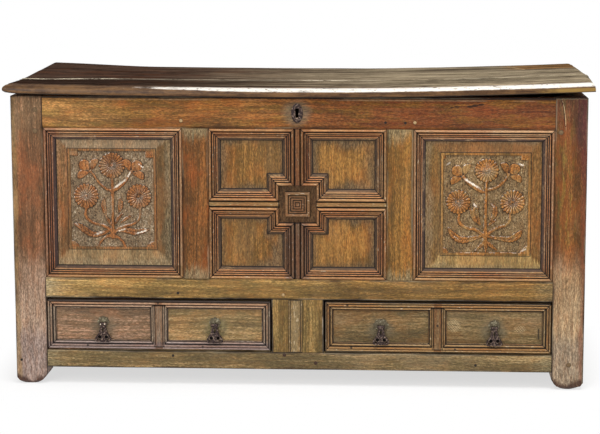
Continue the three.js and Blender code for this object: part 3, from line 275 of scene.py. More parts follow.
def oak(name, dark, middle, light, warm, grey, grain="X", seed=0.0, box=None,
        warmth=0.5, dust=0.4, rough=0.5, grime=0.7, tint=None, shine=0.22):
    """Waxed old oak. Warm and grey are the tones of its blotches and its dry, dusty places."""
    finish = Finish(bpy.data.materials.new(name))
    board = grain_place(finish, grain, seed)
    look = figure(finish, board)
    colour = finish.mix(dark, middle, look.bands * 0.55 + look.streaks * 0.40)
    lit = (look.streaks * 0.4 + look.specks * 0.3 + look.bands * 0.3).ramp(0.45, 0.95)
    colour = colour.mix(light, lit * 0.8)
    colour = colour.mix(warm, look.blotches.ramp(0.46, 0.62) * warmth)
    colour = colour.mix(grey, look.stains.ramp(0.50, 0.66) * dust)
    if tint:
        colour = tint(finish, colour, look)
    colour = colour.mix(grey, look.flecks * 0.32)
    reddish = finish.noise(board, (0.030, 0.006, 0.006), detail=2.0).ramp(0.48, 0.62)
    colour = colour.stain((1.12, 0.94, 0.82, 1), reddish * 0.45)
    colour = colour.mix(UMBER, look.pores * 0.45)
    colour = colour.shade(look.specks * 0.46 + look.blotches * 0.9 + look.fibres * 0.24 + 0.22)
    if box:
        near = edge_distance(finish, box) + (look.streaks - 0.5) * 0.002
        ragged = near + (look.blotches - 0.5) * 0.02
        colour = colour.mix(UMBER, ragged.ramp(0.006, -0.001) * grime)
        # A pale line near the board's edges: dust, and partly a painted highlight on the rubbed arris
        line = near.ramp(0.0042, 0.0016) * look.stains.ramp(0.44, 0.56)
        colour = colour.mix(DUST_AND_HIGHLIGHT, line * 0.38)
        colour = colour.mix(SOOT_AND_SHADE, near.ramp(0.0018, 0.0008) * 0.8)
    height = look.streaks * 0.35 + look.specks * 0.45 - look.pores * 0.50 + look.blotches * 0.8
    sheen = look.specks * 0.14 + look.stains * 0.22 + (rough - 0.15)
    return finish.surface(colour, sheen, height, relief=0.0009, specular=shine)


# Plain edits

# The turn that makes a flat primitive look to the front
TO_FRONT = (math.pi / 2, 0, 0)


def alone(piece):
    """Selects one piece and nothing else."""
    bpy.ops.object.select_all(action="DESELECT")
    piece.select_set(True)
    bpy.context.view_layer.objects.active = piece


@contextmanager
def editing(piece, mode="FACE"):
    """Opens one piece in edit mode with all of it selected."""
    alone(piece)
    bpy.ops.object.mode_set(mode="EDIT")
    bpy.ops.mesh.select_mode(type=mode)
    bpy.ops.mesh.select_all(action="SELECT")
    yield piece
    bpy.ops.object.mode_set(mode="OBJECT")


def named(name, scale=(1, 1, 1)):
    """Gives the new primitive its size and name, and puts its place into its mesh."""
    piece = bpy.context.object
    piece.scale = scale
    piece.name = piece.data.name = name
    bpy.ops.object.transform_apply(location=True, rotation=True, scale=True)
    return piece


def finished(piece, body, slot, material, *stands_for, angle=35):
    """Smooths a piece over its soft edges, gives it its finish, and hangs it on its body."""
    alone(piece)
    bpy.ops.object.shade_smooth_by_angle(angle=math.radians(angle))
    piece.data.materials.clear()
    piece.data.materials.append(material)
    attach(piece, body)
    if stands_for:
        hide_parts(*stands_for)
    return piece


def modified(piece, kind, **settings):
    """Adds a modifier and applies it."""
    alone(piece)
    modifier = piece.modifiers.new(kind.title(), kind)
    for key, value in settings.items():
        setattr(modifier, key, value)
    bpy.ops.object.modifier_apply(modifier=modifier.name)
    return piece


def eased(piece, width):
    """Rounds the sharp edges of a piece, width in mm."""
    return modified(piece, "BEVEL", width=width * MM, segments=2, limit_method="ANGLE",
                    angle_limit=math.radians(30), use_clamp_overlap=True)


def turned_out():
    """Turns all faces of the open piece outward."""
    bpy.ops.mesh.select_all(action="SELECT")
    bpy.ops.mesh.normals_make_consistent(inside=False)


def pick_rims():
    """Selects the edges of the open piece that end a surface."""
    bpy.ops.mesh.select_mode(type="EDGE")
    bpy.ops.mesh.select_all(action="DESELECT")
    bpy.ops.mesh.select_non_manifold()


def direction(axis):
    """The unit vector of an axis given by its number."""
    return Vector([axis == way for way in range(3)])


def read_off(rows, places, column=1):
    """What the rows of a table say at places in its first column."""
    ordered = sorted(rows)
    return np.interp(places, [row[0] for row in ordered], [row[column] for row in ordered])


def copied_node(node, name, flat=1.0):
    """A new piece with the shape of a CAD node, its triangles merged into faces flat to some degrees."""
    mesh = nodes[node].data.copy()
    mesh.name = name
    piece = bpy.data.objects.new(name, mesh)
    bpy.context.scene.collection.objects.link(piece)
    with editing(piece, "VERT"):
        bpy.ops.mesh.remove_doubles(threshold=0.01 * MM)
        bpy.ops.mesh.dissolve_limited(angle_limit=math.radians(flat))
    return piece


def sawn(piece, axis, step):
    """Cuts a piece across an axis at even steps, so that it can bend and wear."""
    places = [vertex.co[axis] for vertex in piece.data.vertices]
    low, high = min(places), max(places)
    count = max(1, round((high - low) / step))
    normal = direction(axis)
    with editing(piece, "VERT"):
        for cut in range(1, count):
            bpy.ops.mesh.select_all(action="SELECT")
            bpy.ops.mesh.bisect(plane_co=normal * (low + (high - low) * cut / count), plane_no=normal)
    return piece


def vertices(piece):
    """The places of a piece's vertices, one row for each."""
    places = np.empty(len(piece.data.vertices) * 3)
    piece.data.vertices.foreach_get("co", places)
    return places.reshape(-1, 3)


def reshaped(piece, places):
    """Moves the vertices of a piece to new places."""
    piece.data.vertices.foreach_set("co", places.ravel())
    piece.data.update()


def cloud_texture(name, size):
    """A smooth cloud that shapes are worn by, its waves size metres long."""
    texture = bpy.data.textures.new(name, "CLOUDS")
    texture.noise_scale = size
    texture.noise_depth = 2
    return texture


PLANE_MARKS = cloud_texture("plane_marks", 0.11)
HAND_MARKS = cloud_texture("hand_marks", 0.028)


def weathered(piece, depth=1.0, marks=PLANE_MARKS):
    """Pushes the surface in and out by a smooth cloud, depth in mm from deepest to highest."""
    return modified(piece, "DISPLACE", texture=marks, strength=depth * MM, mid_level=0.5,
                    texture_coords="LOCAL")


FOOT_STEP = 6.5 * MM
FOOT_HEIGHT = 28 * MM


def timber(node, body, slot, material, axis, step=0.030, edge=0.9, wear=0.7, foot=None):
    """A board with the joints of its CAD node, its edges rubbed round and its faces a little uneven.
    Foot is the worn outline of its lower end, from its left side to its right, in mm."""
    piece = copied_node(node, node + "_timber")
    eased(piece, edge)
    sawn(piece, axis, step)
    if foot:
        sawn(piece, 0, FOOT_STEP)
        places = vertices(piece)
        low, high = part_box(node)
        worn = np.interp(places[:, 0], np.linspace(low.x, high.x, len(foot)), foot) * MM
        places[:, 2] = np.where(places[:, 2] < FOOT_HEIGHT, np.maximum(places[:, 2], worn), places[:, 2])
        reshaped(piece, places)
    weathered(piece, wear)
    return finished(piece, body, slot, material, node)


# Frame timbers

def tones(red, green, blue, warmth=0.5, dust=0.35):
    """The tones of a board whose middle colour is known."""
    def scaled(by, r=1.0, g=1.0, b=1.0):
        return tone(min(red * by * r, 255), min(green * by * g, 255), min(blue * by * b, 255))
    grey = tone(0.55 * red + 0.45 * 142, 0.55 * green + 0.45 * 126, 0.55 * blue + 0.45 * 100)
    return {"dark": scaled(0.66, b=0.85), "middle": scaled(0.98, b=0.84), "light": scaled(1.28, b=0.95),
            "warm": scaled(0.98, r=1.06, g=0.88, b=0.66), "grey": grey, "warmth": warmth, "dust": dust}


AXES = {"X": 0, "Y": 1, "Z": 2}
FRONT_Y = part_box("front_top_rail")[0].y
# Behind the first a face isn't the front one, and before the second it is
FACE_DEPTH = (FRONT_Y + 4 * MM, FRONT_Y + 2 * MM)
POST_MIDDLE = 661.25 * MM
KEYHOLE_UP = 680 * MM
LID_LINE = 714 * MM
RAIL_FOOT = 219 * MM
MUNTIN_EDGE = 63.5 * MM

# What the posts are stained by from the top down; on the left post the top zone also paints light over the
# shade that the lid casts
POST_ZONES = {
    "left": (towards((144, 116, 93), (116, 84, 60)), towards((134, 94, 68), (127, 90, 63)),
             towards((164, 137, 116), (154, 127, 105)), towards((153, 135, 125), (157, 133, 111))),
    "right": (towards((111, 72, 51), (134, 97, 66)), towards((131, 85, 50), (138, 92, 59)),
              towards((166, 139, 106), (154, 128, 106)), towards((149, 130, 109), (147, 122, 102))),
}


def post_wear(side):
    """Greyer wood near the floor, four zones of stain, the left post's top one partly painted light, a dark
    foot and an outer edge of another tone.
    """
    def tint(finish, colour, look):
        x, _, z = finish.parts(finish.place())
        near_floor = (z + (look.stains - 0.5) * 0.35).ramp(0.36, 0.15)
        bare = finish.mix(tone(132, 106, 86), tone(186, 160, 136), look.streaks * 0.5 + look.specks * 0.5)
        colour = colour.mix(bare, near_floor * 0.85)
        zones = POST_ZONES[side]
        # On the left post this top zone is partly painted light against the lid's shade
        colour = colour.stain(zones[0], (z + (look.stains - 0.5) * 0.2).ramp(0.56, 0.68))
        colour = colour.stain(zones[1], z.ramp(0.30, 0.36) * z.ramp(0.66, 0.56))
        colour = colour.stain(zones[2], z.ramp(0.34, 0.28) * z.ramp(0.10, 0.16))
        colour = colour.stain(zones[3], z.ramp(0.16, 0.10))
        outer = (x * SIDES[side] + (look.blotches - 0.5) * 0.03).ramp(0.684, 0.694)
        colour = colour.mix(tone(150, 122, 78) if side == "left" else tone(112, 60, 42), outer * 0.6)
        off = (x.size() - POST_MIDDLE).size()
        foot = (z - off * 0.5 + (look.blotches - 0.5) * 0.05).ramp(0.016, 0.002)
        return colour.mix(tone(70, 44, 33), foot * 0.9)
    return tint


def dusty_ends(low, high, reach=0.035, share=0.65, axis=2):
    """Dry grey dust on the ends of a board, where its joints are."""
    def tint(finish, colour, look):
        along = finish.parts(finish.place())[axis]
        near = (along - low).least(high - along) + (look.stains - 0.5) * 0.10 + (look.streaks - 0.5) * 0.02
        dusty = finish.mix(tone(104, 94, 68), tone(158, 146, 112), look.specks)
        return colour.mix(dusty, near.ramp(reach, 0.0) * share)
    return tint


# Gouges in the top rail: middle in mm along and up, and how they are stretched along and up
GOUGES = [(417, 697.5, 8, 2.6), (430, 700, 8, 3.4), (444, 702.5, 8, 2.6), (386, 697, 8, 1.8),
          (374, 695, 5, 1.4), (470, 690, 5, 1.2)]


def top_rail_wear_and_shade(finish, colour, look):
    """Redder to the right, painted light towards the top against the lid's shade, a painted shadow under the
    lid, dirt round the keyhole, and a few gouges.
    """
    x, y, z = finish.parts(finish.place())
    red = finish.mix(tone(92, 48, 26), tone(150, 88, 46), look.streaks * 0.6 + look.specks * 0.4)
    colour = colour.mix(red, (x + (look.stains - 0.5) * 0.6).ramp(-0.15, 0.25) * 0.6)
    along = x + (look.stains - 0.5) * 0.2
    colour = colour.stain(towards((150, 114, 78), (131, 91, 55)), along.ramp(-0.38, -0.52))
    colour = colour.stain(towards((117, 72, 42), (128, 85, 53)), along.ramp(-0.12, 0.04))
    # Painted light: lighter towards the top, most at the left, against the shade that the lid casts
    colour = colour.shade(z.ramp(0.676, 0.706) * (x.ramp(0.1, -0.3) * 0.42 + 0.18) + 1)
    golden = finish.noise(finish.place(), (0.12, 0.12, 0.024), detail=3.0, rough=0.65).ramp(0.50, 0.60)
    golden = golden * (x.ramp(-0.15, 0.15) * 0.6 + 0.25)
    colour = colour.stain(towards((126, 100, 52), (124, 84, 52)), golden)
    streaky = finish.noise(finish.place(), (0.12, 0.12, 0.0055), detail=2.0).ramp(0.56, 0.66)
    streaky = streaky * (x.ramp(-0.35, 0.05) * 0.45 + 0.25)
    colour = colour.stain((0.74, 0.54, 0.46, 1), streaky)
    facing = y.ramp(*FACE_DEPTH)
    away = ((x / 1.1) ** 2 + (z - KEYHOLE_UP) ** 2) ** 0.5 + (look.blotches - 0.5) * 0.02
    colour = colour.mix(tone(118, 108, 88), away.ramp(0.040, 0.018) * 0.6)
    for gouge_x, gouge_z, wide, tall in GOUGES:
        gap = (((x - gouge_x * MM) / wide) ** 2 + ((z - gouge_z * MM) / tall) ** 2) ** 0.5
        colour = colour.mix(SOOT_AND_SHADE, gap.ramp(1.2 * MM, 0.7 * MM) * facing * 0.85)
    worn = z.ramp(LID_LINE - 5 * MM, LID_LINE - 3.5 * MM) * z.ramp(LID_LINE, LID_LINE - 1.5 * MM)
    worn = worn * look.stains.ramp(0.40, 0.52)
    colour = colour.mix(tone(176, 148, 116), worn * facing * 0.5)
    # Painted shadow of the lid: near-black along the top of the front face
    lid_shadow = (z + (look.streaks - 0.5) * 0.0015).ramp(LID_LINE - 0.8 * MM, LID_LINE + 0.8 * MM)
    return colour.mix(SOOT_AND_SHADE, lid_shadow * facing * 0.95)


def middle_rail_wear_and_shade(finish, colour, look):
    """Dusty ends, lighter and greyer wood to the left, and painted shade in the gap over the drawers."""
    colour = RAIL_DUST(finish, colour, look)
    x, _, z = finish.parts(finish.place())
    along = x + (look.stains - 0.5) * 0.2
    colour = colour.stain(towards((141, 113, 72), (128, 101, 63)), x.ramp(0.05, -0.05))
    colour = colour.stain(towards((133, 102, 61), (137, 109, 69)), x.ramp(0.05, 0.15))
    colour = colour.stain(towards((164, 136, 95), (141, 115, 75)), along.ramp(-0.40, -0.54))
    # Painted shade: near-black in the gap over the drawers
    over_drawers = x.size().ramp(60 * MM, 64 * MM)
    gap = (z + (look.blotches - 0.5) * 0.010).ramp(RAIL_FOOT + 4.5 * MM, RAIL_FOOT + 0.5 * MM)
    return colour.mix(SOOT_AND_SHADE, gap * over_drawers * 0.92)


def right_post_wear(finish, colour, look):
    """The post's wear, redder along its outer edge, with a short curved crack down from its top."""
    colour = post_wear("right")(finish, colour, look)
    x, y, z = finish.parts(finish.place())
    facing = y.ramp(*FACE_DEPTH)
    wine = (x + (look.streaks - 0.5) * 0.02).ramp(0.662, 0.690) * z.ramp(0.46, 0.60)
    colour = colour.stain(towards((98, 56, 48), (124, 76, 48)), wine)
    green = finish.noise(finish.place(), (0.010, 0.010, 0.055), detail=3.0, rough=0.6).ramp(0.48, 0.60)
    green = green * x.ramp(0.685, 0.660) * z.ramp(0.30, 0.42) * 0.6
    colour = colour.stain(towards((120, 100, 58), (124, 76, 48)), green)
    down = LID_LINE - z
    line = x - 0.638 - down * 0.26 + down * down * 1.6 + (look.blotches - 0.5) * 0.006
    long = z.ramp(0.636, 0.656) * facing
    colour = colour.mix(SOOT_AND_SHADE, (line + 0.0016).size().ramp(0.0015, 0.0006) * long * 0.7)
    bright = line.size().ramp(0.0012, 0.0003) * long * look.specks.ramp(0.1, 0.4)
    return colour.mix(tone(196, 174, 136), bright * 0.8)


def beside_drawers(finish, colour, look):
    """Painted shade in the gaps beside the drawers, and a pale splinter at one of them."""
    x, _, z = finish.parts(finish.place())
    # Painted shade: near-black along the muntin's edges beside the drawers
    gap = (MUNTIN_EDGE - x.size() + (look.blotches - 0.5) * 0.004).ramp(0.0034, 0.0018)
    colour = colour.mix(SOOT_AND_SHADE, gap * 0.95)
    splinter = (x - 0.0612).size().ramp(0.0016, 0.0008) * z.ramp(0.128, 0.136) * z.ramp(0.180, 0.172)
    return colour.mix(tone(206, 192, 172), splinter * 0.85)


MUNTIN_DUST = dusty_ends(269 * MM, 641 * MM)
RAIL_DUST = dusty_ends(-622 * MM, 622 * MM, reach=0.05, share=0.5, axis=0)
# The worn outline of each foot in mm, from its left side to its right
FEET = {
    "front_left_post": (16, 4, 1, 0, 0, 0, 0.5, 2, 7, 15, 25),
    "front_right_post": (25, 12, 5, 2, 0.5, 0, 0, 2, 4, 7, 18),
    "rear_left_post": (10, 3, 0, 0, 0, 0, 0, 0, 0, 2, 6),
    "rear_right_post": (6, 2, 0, 0, 0, 0, 0, 0, 0, 4, 12),
}
BACK_RAIL = tones(134, 100, 66, dust=0.6)
SIDE_TOP_RAIL = tones(134, 94, 58)
SIDE_BOTTOM_RAIL = tones(138, 102, 68)
FRAME_TONES = {
    "front_top_rail": ("X", tones(134, 90, 49, dust=0.2), top_rail_wear_and_shade),
    "front_middle_rail": ("X", tones(146, 115, 72, warmth=0.2), middle_rail_wear_and_shade),
    "front_bottom_rail": ("X", tones(142, 120, 91, warmth=0.15), RAIL_DUST),
    "left_muntin": ("Z", tones(124, 80, 43, warmth=0.7, dust=0.2), MUNTIN_DUST),
    "right_muntin": ("Z", tones(138, 99, 52, dust=0.2), MUNTIN_DUST),
    "drawer_muntin": ("Z", tones(137, 112, 74, warmth=0.2), beside_drawers),
    "front_left_post": ("Z", tones(133, 93, 69, warmth=0.5), post_wear("left")),
    "front_right_post": ("Z", tones(128, 86, 52), right_post_wear),
    "rear_left_post": ("Z", tones(133, 93, 66), post_wear("left")),
    "rear_right_post": ("Z", tones(130, 90, 58), post_wear("right")),
    "back_top_rail": ("X", BACK_RAIL, None),
    "back_bottom_rail": ("X", BACK_RAIL, None),
    "left_side_top_rail": ("Y", SIDE_TOP_RAIL, None),
    "left_side_bottom_rail": ("Y", SIDE_BOTTOM_RAIL, None),
    "right_side_top_rail": ("Y", SIDE_TOP_RAIL, None),
    "right_side_bottom_rail": ("Y", SIDE_BOTTOM_RAIL, None),
}
CENTRE_FIELD = tones(140, 101, 57, warmth=0.4)
SIDE_FIELD = tones(138, 100, 62)
RAW = tones(150, 122, 90, warmth=0.2, dust=0.7)
DRAWER_FIELD = {"left": tones(141, 115, 97, warmth=0.3), "right": tones(122, 102, 75, warmth=0.4)}
for index, (node, (grain, board, wear)) in enumerate(FRAME_TONES.items()):
    slot = "oak_post" if "post" in node else "oak_frame"
    material = oak(node + "_oak", grain=grain, seed=1.7 * index, box=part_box(node), tint=wear, **board)
    timber(node, "carcase", slot, material, AXES[grain], foot=FEET.get(node))


# Marks that a finish reads from a piece

def marked(piece, name, values, kind="FLOAT"):
    """Keeps one value for each vertex under a name that the finishes read."""
    layer = piece.data.attributes.new(name, kind, "POINT")
    layer.data.foreach_set("vector" if kind == "FLOAT_VECTOR" else "value",
                           np.asarray(values, np.float32).ravel())
    return piece


def with_grain(piece, axis, seed):
    """Marks the way that a length of wood runs, with a place of its own in the figure."""
    order = {"X": (0, 2, 1), "Z": (2, 0, 1), "Y": (1, 2, 0)}[axis]
    return marked(piece, "grain", vertices(piece)[:, order] + seed, "FLOAT_VECTOR")


def joined(pieces, name):
    """Makes one piece of several, which stay separate solids."""
    bpy.ops.object.select_all(action="DESELECT")
    for piece in pieces:
        piece.select_set(True)
    bpy.context.view_layer.objects.active = pieces[0]
    if len(pieces) > 1:
        bpy.ops.object.join()
    piece = bpy.context.object
    piece.name = piece.data.name = name
    return piece


def copy_of(piece):
    """A second piece with a mesh of its own."""
    other = piece.copy()
    other.data = piece.data.copy()
    bpy.context.scene.collection.objects.link(other)
    return other


def picked(piece, wanted):
    """Selects the faces of an open piece whose middle and normal pass a test."""
    shape = bmesh.from_edit_mesh(piece.data)
    for face in shape.faces:
        face.select_set(bool(wanted(face.calc_center_median(), face.normal)))
    bmesh.update_edit_mesh(piece.data)


# Mouldings

def round_bead(start, end, foot, crest, dirt, steps=6):
    """Rows of a profile over a half round, from one quirk to the next."""
    rows = []
    for step in range(steps + 1):
        turn = math.pi * step / steps
        rows.append((start + (end - start) * (1 - math.cos(turn)) / 2, foot + (crest - foot) * math.sin(turn),
                     dirt * (1 - math.sin(turn)) ** 2))
    return rows


def ogee(start, end, high, low, dirt, steps=6):
    """Rows of a profile over a slope that is round above and hollow below."""
    rows = []
    for step in range(steps + 1):
        share = step / steps
        fall = (1 - math.cos(math.pi * share)) / 2
        rows.append((start + (end - start) * share, high + (low - high) * fall,
                     dirt[0] + (dirt[1] - dirt[0]) * share))
    return rows


# Rows of (distance in from the outer edge, height over the panel, grime and painted shade from 0 to 1), in mm
PANEL_PROFILE = ([(0, 10.0, 1.1)] + round_bead(0.4, 7.0, 10.8, 15.0, 0.8)
                 + [(7.2, 7.6, 1.2), (9.6, 7.6, 1.2), (9.9, 12.8, 0.25), (12.3, 12.4, 0.0), (12.6, 9.0, 1.2),
                    (14.6, 8.8, 1.2), (14.9, 10.6, 0.35), (16.8, 9.8, 0.25), (17.1, 7.2, 1.2),
                    (19.2, 7.0, 1.2), (19.5, 8.8, 0.2), (21.9, 8.2, 0.0)]
                 + ogee(22.2, 28.0, 7.2, 3.2, (0.55, 0.75), steps=5)
                 + [(28.3, 1.5, 1.2), (29.6, 1.0, 1.2), (30, 0, 1.2)])
BOSS_PROFILE = ([(0, 9.0, 0.9)] + round_bead(0.3, 8.3, 10.5, 14.6, 0.8)
                + [(8.7, 8.0, 1.0), (9.9, 8.0, 1.0), (10.1, 12.0, 0.5), (13.3, 12.0, 0.3), (13.6, 10.2, 0.95),
                   (15.6, 10.2, 0.9), (15.9, 13.2, 0.4), (19.3, 13.2, 0.3), (19.6, 11.4, 0.95),
                   (21.4, 11.4, 0.9), (21.7, 14.0, 0.4), (24.8, 14.0, 0.25), (25.1, 12.6, 0.95),
                   (26.9, 12.6, 0.9), (27.2, 14.8, 0.3)])
BORDER_PROFILE = ([(0, 2.8, 0.6)] + round_bead(0.2, 4.3, 4.2, 6.3, 0.5, steps=4)
                  + [(4.6, 3.2, 1.2), (5.9, 3.2, 1.2), (6.2, 5.8, 0.35), (10.4, 5.6, 0.2), (10.8, 2.2, 1.2),
                     (12.7, 1.8, 1.2), (13, 0, 1.2)])
BEAD_PROFILE = ([(0, 1.6, 1.2)] + round_bead(0.4, 5.0, 2.2, 4.4, 0.7, steps=5)
                + [(5.4, 0.9, 1.2), (7.0, 0.8, 1.2), (7.3, 2.4, 0.5), (8.6, 1.8, 0.5), (9, 0, 1.0)])


def side_distances(outline, x, z):
    """How far points are from each side of an outline and from the line it lies on: a row for each side."""
    near, across = [], []
    for (ax, az), (bx, bz) in zip(outline, outline[1:] + outline[:1]):
        run = math.hypot(bx - ax, bz - az)
        share = np.clip(((x - ax) * (bx - ax) + (z - az) * (bz - az)) / run ** 2, 0, 1)
        near.append(np.hypot(x - ax - share * (bx - ax), z - az - share * (bz - az)))
        across.append(np.abs((x - ax) * (bz - az) - (z - az) * (bx - ax)) / run)
    return np.array(near), np.array(across)


def side_of(outline, place):
    """The side of an outline whose moulding covers a place. In a cut-in corner it's the farther line's."""
    near, across = side_distances(outline, place.x, place.z)
    return (near - 0.01 * across).argmin()


def front_face(name, outline, base):
    """One face turned to the front, with the outline of a rectangle or of one with a corner cut out."""
    low_x, high_x = min(x for x, z in outline), max(x for x, z in outline)
    low_z, high_z = min(z for x, z in outline), max(z for x, z in outline)
    middle = ((low_x + high_x) / 2, base, (low_z + high_z) / 2)
    bpy.ops.mesh.primitive_plane_add(size=1, location=middle, rotation=TO_FRONT)
    piece = named(name, (high_x - low_x, high_z - low_z, 1))
    inner = [(x, z) for x, z in outline if low_x + MM < x < high_x - MM and low_z + MM < z < high_z - MM]
    for x, z in inner:
        lost = [(cx, cz) for cx in (low_x, high_x) for cz in (low_z, high_z) if (cx, cz) not in outline][0]
        with editing(piece):
            bpy.ops.mesh.bisect(plane_co=(x, base, z), plane_no=(1, 0, 0))
            bpy.ops.mesh.select_all(action="SELECT")
            bpy.ops.mesh.bisect(plane_co=(x, base, z), plane_no=(0, 0, 1))
            picked(piece, lambda place, normal: ((place.x - x) * (lost[0] - x) > 0
                                                 and (place.z - z) * (lost[1] - z) > 0))
            bpy.ops.mesh.delete(type="FACE")
            bpy.ops.mesh.select_all(action="SELECT")
            bpy.ops.mesh.dissolve_limited(angle_limit=math.radians(1))
    return piece


def inset_rows(rows):
    """Raises the open face to the first row of a profile, and insets it along the others."""
    bpy.ops.mesh.extrude_region_move(TRANSFORM_OT_translate={"value": (0, -rows[0][1] * MM, 0)})
    for (near, low, _), (far, high, _) in zip(rows, rows[1:]):
        bpy.ops.mesh.inset(thickness=max(far - near, 0.02) * MM, depth=(high - low) * MM,
                           use_even_offset=True)


def moulding_ring(name, outline, profile, base):
    """A closed ring of moulding inside an outline, made by one inset for each row of the profile."""
    piece = front_face(name, outline, base)
    with editing(piece):
        inset_rows(profile)
        bpy.ops.mesh.delete(type="FACE")
        picked(piece, lambda place, normal: normal.y > 0.9 and abs(place.y - base) < 0.01 * MM)
        bpy.ops.mesh.delete(type="FACE")
        pick_rims()
        bpy.ops.mesh.bridge_edge_loops()
        turned_out()
    return piece


def corner_turns(outline):
    """For each corner of an outline, 1 where it is an outer corner and -1 where it is cut in."""
    turns = []
    for (ax, az), (bx, bz), (cx, cz) in zip(outline[-1:] + outline[:-1], outline, outline[1:] + outline[:1]):
        turns.append((bx - ax) * (cz - bz) - (bz - az) * (cx - bx))
    return np.sign(turns) * np.sign(sum(turns))


MITRE_GAP = 0.5 * MM


def mitred_lengths(ring, outline, profile, seed):
    """Parts a ring into its mitred lengths, each with its grain along it and its grime and painted shade in
    its quirks.
    """
    lengths = []
    turns = corner_turns(outline)
    for index in range(len(outline)):
        following = (index + 1) % len(outline)
        (ax, az), (bx, bz) = outline[index], outline[following]
        length = copy_of(ring)
        upright = abs(bz - az) > abs(bx - ax)
        with editing(length):
            picked(length, lambda place, normal: side_of(outline, place) != index)
            bpy.ops.mesh.delete(type="FACE")
            bpy.ops.mesh.select_all(action="SELECT")
            bpy.ops.mesh.fill_holes(sides=0)
            turned_out()
            run = math.hypot(bx - ax, bz - az)
            shrink = 1 - MITRE_GAP / run
            middle = ((ax + bx) / 2, 0, (az + bz) / 2)
            bpy.ops.transform.resize(value=(1, 1, shrink) if upright else (shrink, 1, 1),
                                     center_override=middle)
        places = vertices(length)
        depth = side_distances(outline, places[:, 0], places[:, 2])[1][index]
        marked(length, "dirt", read_off(profile, depth / MM, 2))
        passed = ((places[:, 0] - ax) * (bx - ax) + (places[:, 2] - az) * (bz - az)) / run
        ends = [passed - turns[index] * depth, run - passed - turns[following] * depth,
                np.full(len(places), float(upright))]
        marked(length, "ends", np.stack(ends, axis=1), "FLOAT_VECTOR")
        with_grain(length, "Z" if upright else "X", seed + 0.83 * index)
        lengths.append(length)
    bpy.data.objects.remove(ring)
    return lengths


def rectangle(low_x, high_x, low_z, high_z):
    """The outline of a rectangle on the front."""
    return [(low_x, low_z), (high_x, low_z), (high_x, high_z), (low_x, high_z)]


def moulded_frame(outline, profile, base, seed):
    """The mitred lengths of moulding that line an outline."""
    return mitred_lengths(moulding_ring("ring", outline, profile, base), outline, profile, seed)


def moulding_finish(name, crest, face, low, warm, pale, seed=0.0, gloss=0.36, tint=None):
    """Moulded oak, rubbed on its crests and dirty in its mitres, with grime and painted shade in its quirks,
    painted glints on its crests, and its uprights painted darker.
    """
    finish = Finish(bpy.data.materials.new(name))
    board = grain_place(finish, "own", seed)
    look = figure(finish, board)
    start, end, upright = finish.parts(finish.attribute("ends", "Vector"))
    patches = finish.noise(finish.place(), 0.045, detail=3.0, rough=0.6)
    dirt = finish.attribute("dirt") + (patches - 0.5) * 0.40 + (look.streaks - 0.5) * 0.20
    colour = finish.mix(face, crest, look.streaks * 0.5 + patches.ramp(0.35, 0.6) * 0.4 + 0.2)
    colour = colour.mix(warm, look.blotches.ramp(0.45, 0.60) * 0.5)
    colour = colour.mix(pale, look.stains.ramp(0.50, 0.66) * 0.45)
    grime = finish.mix(low, pale, patches.ramp(0.52, 0.70) * look.specks * 0.8)
    # Grime and painted shade: darker, then near-black, the deeper a quirk lies
    colour = colour.mix(grime, dirt.ramp(0.32, 0.66))
    colour = colour.mix(UMBER, look.pores * 0.5)
    colour = colour.mix(pale, dirt.ramp(0.20, 0.0) * 0.38)
    # Painted shade: upright lengths darker than level ones, as if less lit from above
    colour = colour.shade(look.specks * 0.5 + 0.90 - upright * 0.42)
    # Painted highlights: pale glints on the crests
    glint = finish.noise(board, (0.010, 0.0022, 0.0022), detail=1.0).ramp(0.66, 0.74)
    colour = colour.mix(tone(226, 208, 178), glint * dirt.ramp(0.45, 0.15) * 0.6)
    colour = colour.mix(SOOT_AND_SHADE, dirt.ramp(0.72, 0.92) * 0.97)
    mitre = start.least(end) + (look.blotches - 0.5) * 0.0008
    colour = colour.mix(SOOT_AND_SHADE, mitre.ramp(0.0018, 0.0008) * 0.9)
    if tint:
        colour = tint(finish, colour, look)
    height = look.streaks * 0.3 + look.specks * 0.35 + look.blotches
    sheen = dirt.ramp(0.2, 0.8) * 0.34 + look.specks * 0.10 + gloss
    return finish.surface(colour, sheen, height, relief=0.0007, specular=0.30)


MOULDING_STEP = 45 * MM


def moulded_piece(lengths, name, body, material, *stands_for, wear=0.5):
    """Joins lengths of moulding, wears them a little, and finishes them."""
    piece = joined(lengths, name)
    sawn(piece, 0, MOULDING_STEP)
    sawn(piece, 2, MOULDING_STEP)
    weathered(piece, wear)
    return finished(piece, body, "oak_moulding", material, *stands_for, angle=28)


PANEL_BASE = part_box("left_panel_moulding")[1].y
LEFT_UPRIGHT = -590 * MM
LOWEST_LENGTH = 301 * MM


def moulding_wear(finish, colour, look):
    """A darker lowest length, and a darker, purplish upright next to the left post."""
    x, _, z = finish.parts(finish.place())
    colour = colour.stain((0.80, 0.74, 0.82, 1), x.ramp(LEFT_UPRIGHT + 2 * MM, LEFT_UPRIGHT - 2 * MM))
    return colour.stain((0.82, 0.80, 0.68, 1), z.ramp(LOWEST_LENGTH + MM, LOWEST_LENGTH - MM))


for index, side in enumerate(SIDES):
    low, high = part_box(side + "_panel_moulding")
    outline = rectangle(low.x, high.x, low.z, high.z)
    material = moulding_finish(side + "_panel_moulding_oak", crest=tone(174, 120, 74), face=tone(120, 78, 48),
                               low=tone(80, 62, 54), warm=tone(148, 84, 50), pale=tone(184, 154, 118),
                               seed=3.1 * index, tint=moulding_wear)
    moulded_piece(moulded_frame(outline, PANEL_PROFILE, PANEL_BASE, 5.3 * index),
                  side + "_panel_mitred_moulding", "carcase", material, side + "_panel_moulding")


# How far down each drawer's moulding is painted with the shade of the gap over it
GAP_SHADE_DEPTH = {"left": 5.0 * MM, "right": 2.2 * MM}
# Nail holes in the drawers' mouldings, in mm along and up
NAIL_MARKS = {"left": [(-521, 99), (-235, 98), (-345, 207)],
              "right": [(132, 100), (386, 98), (343, 158), (122, 207)]}


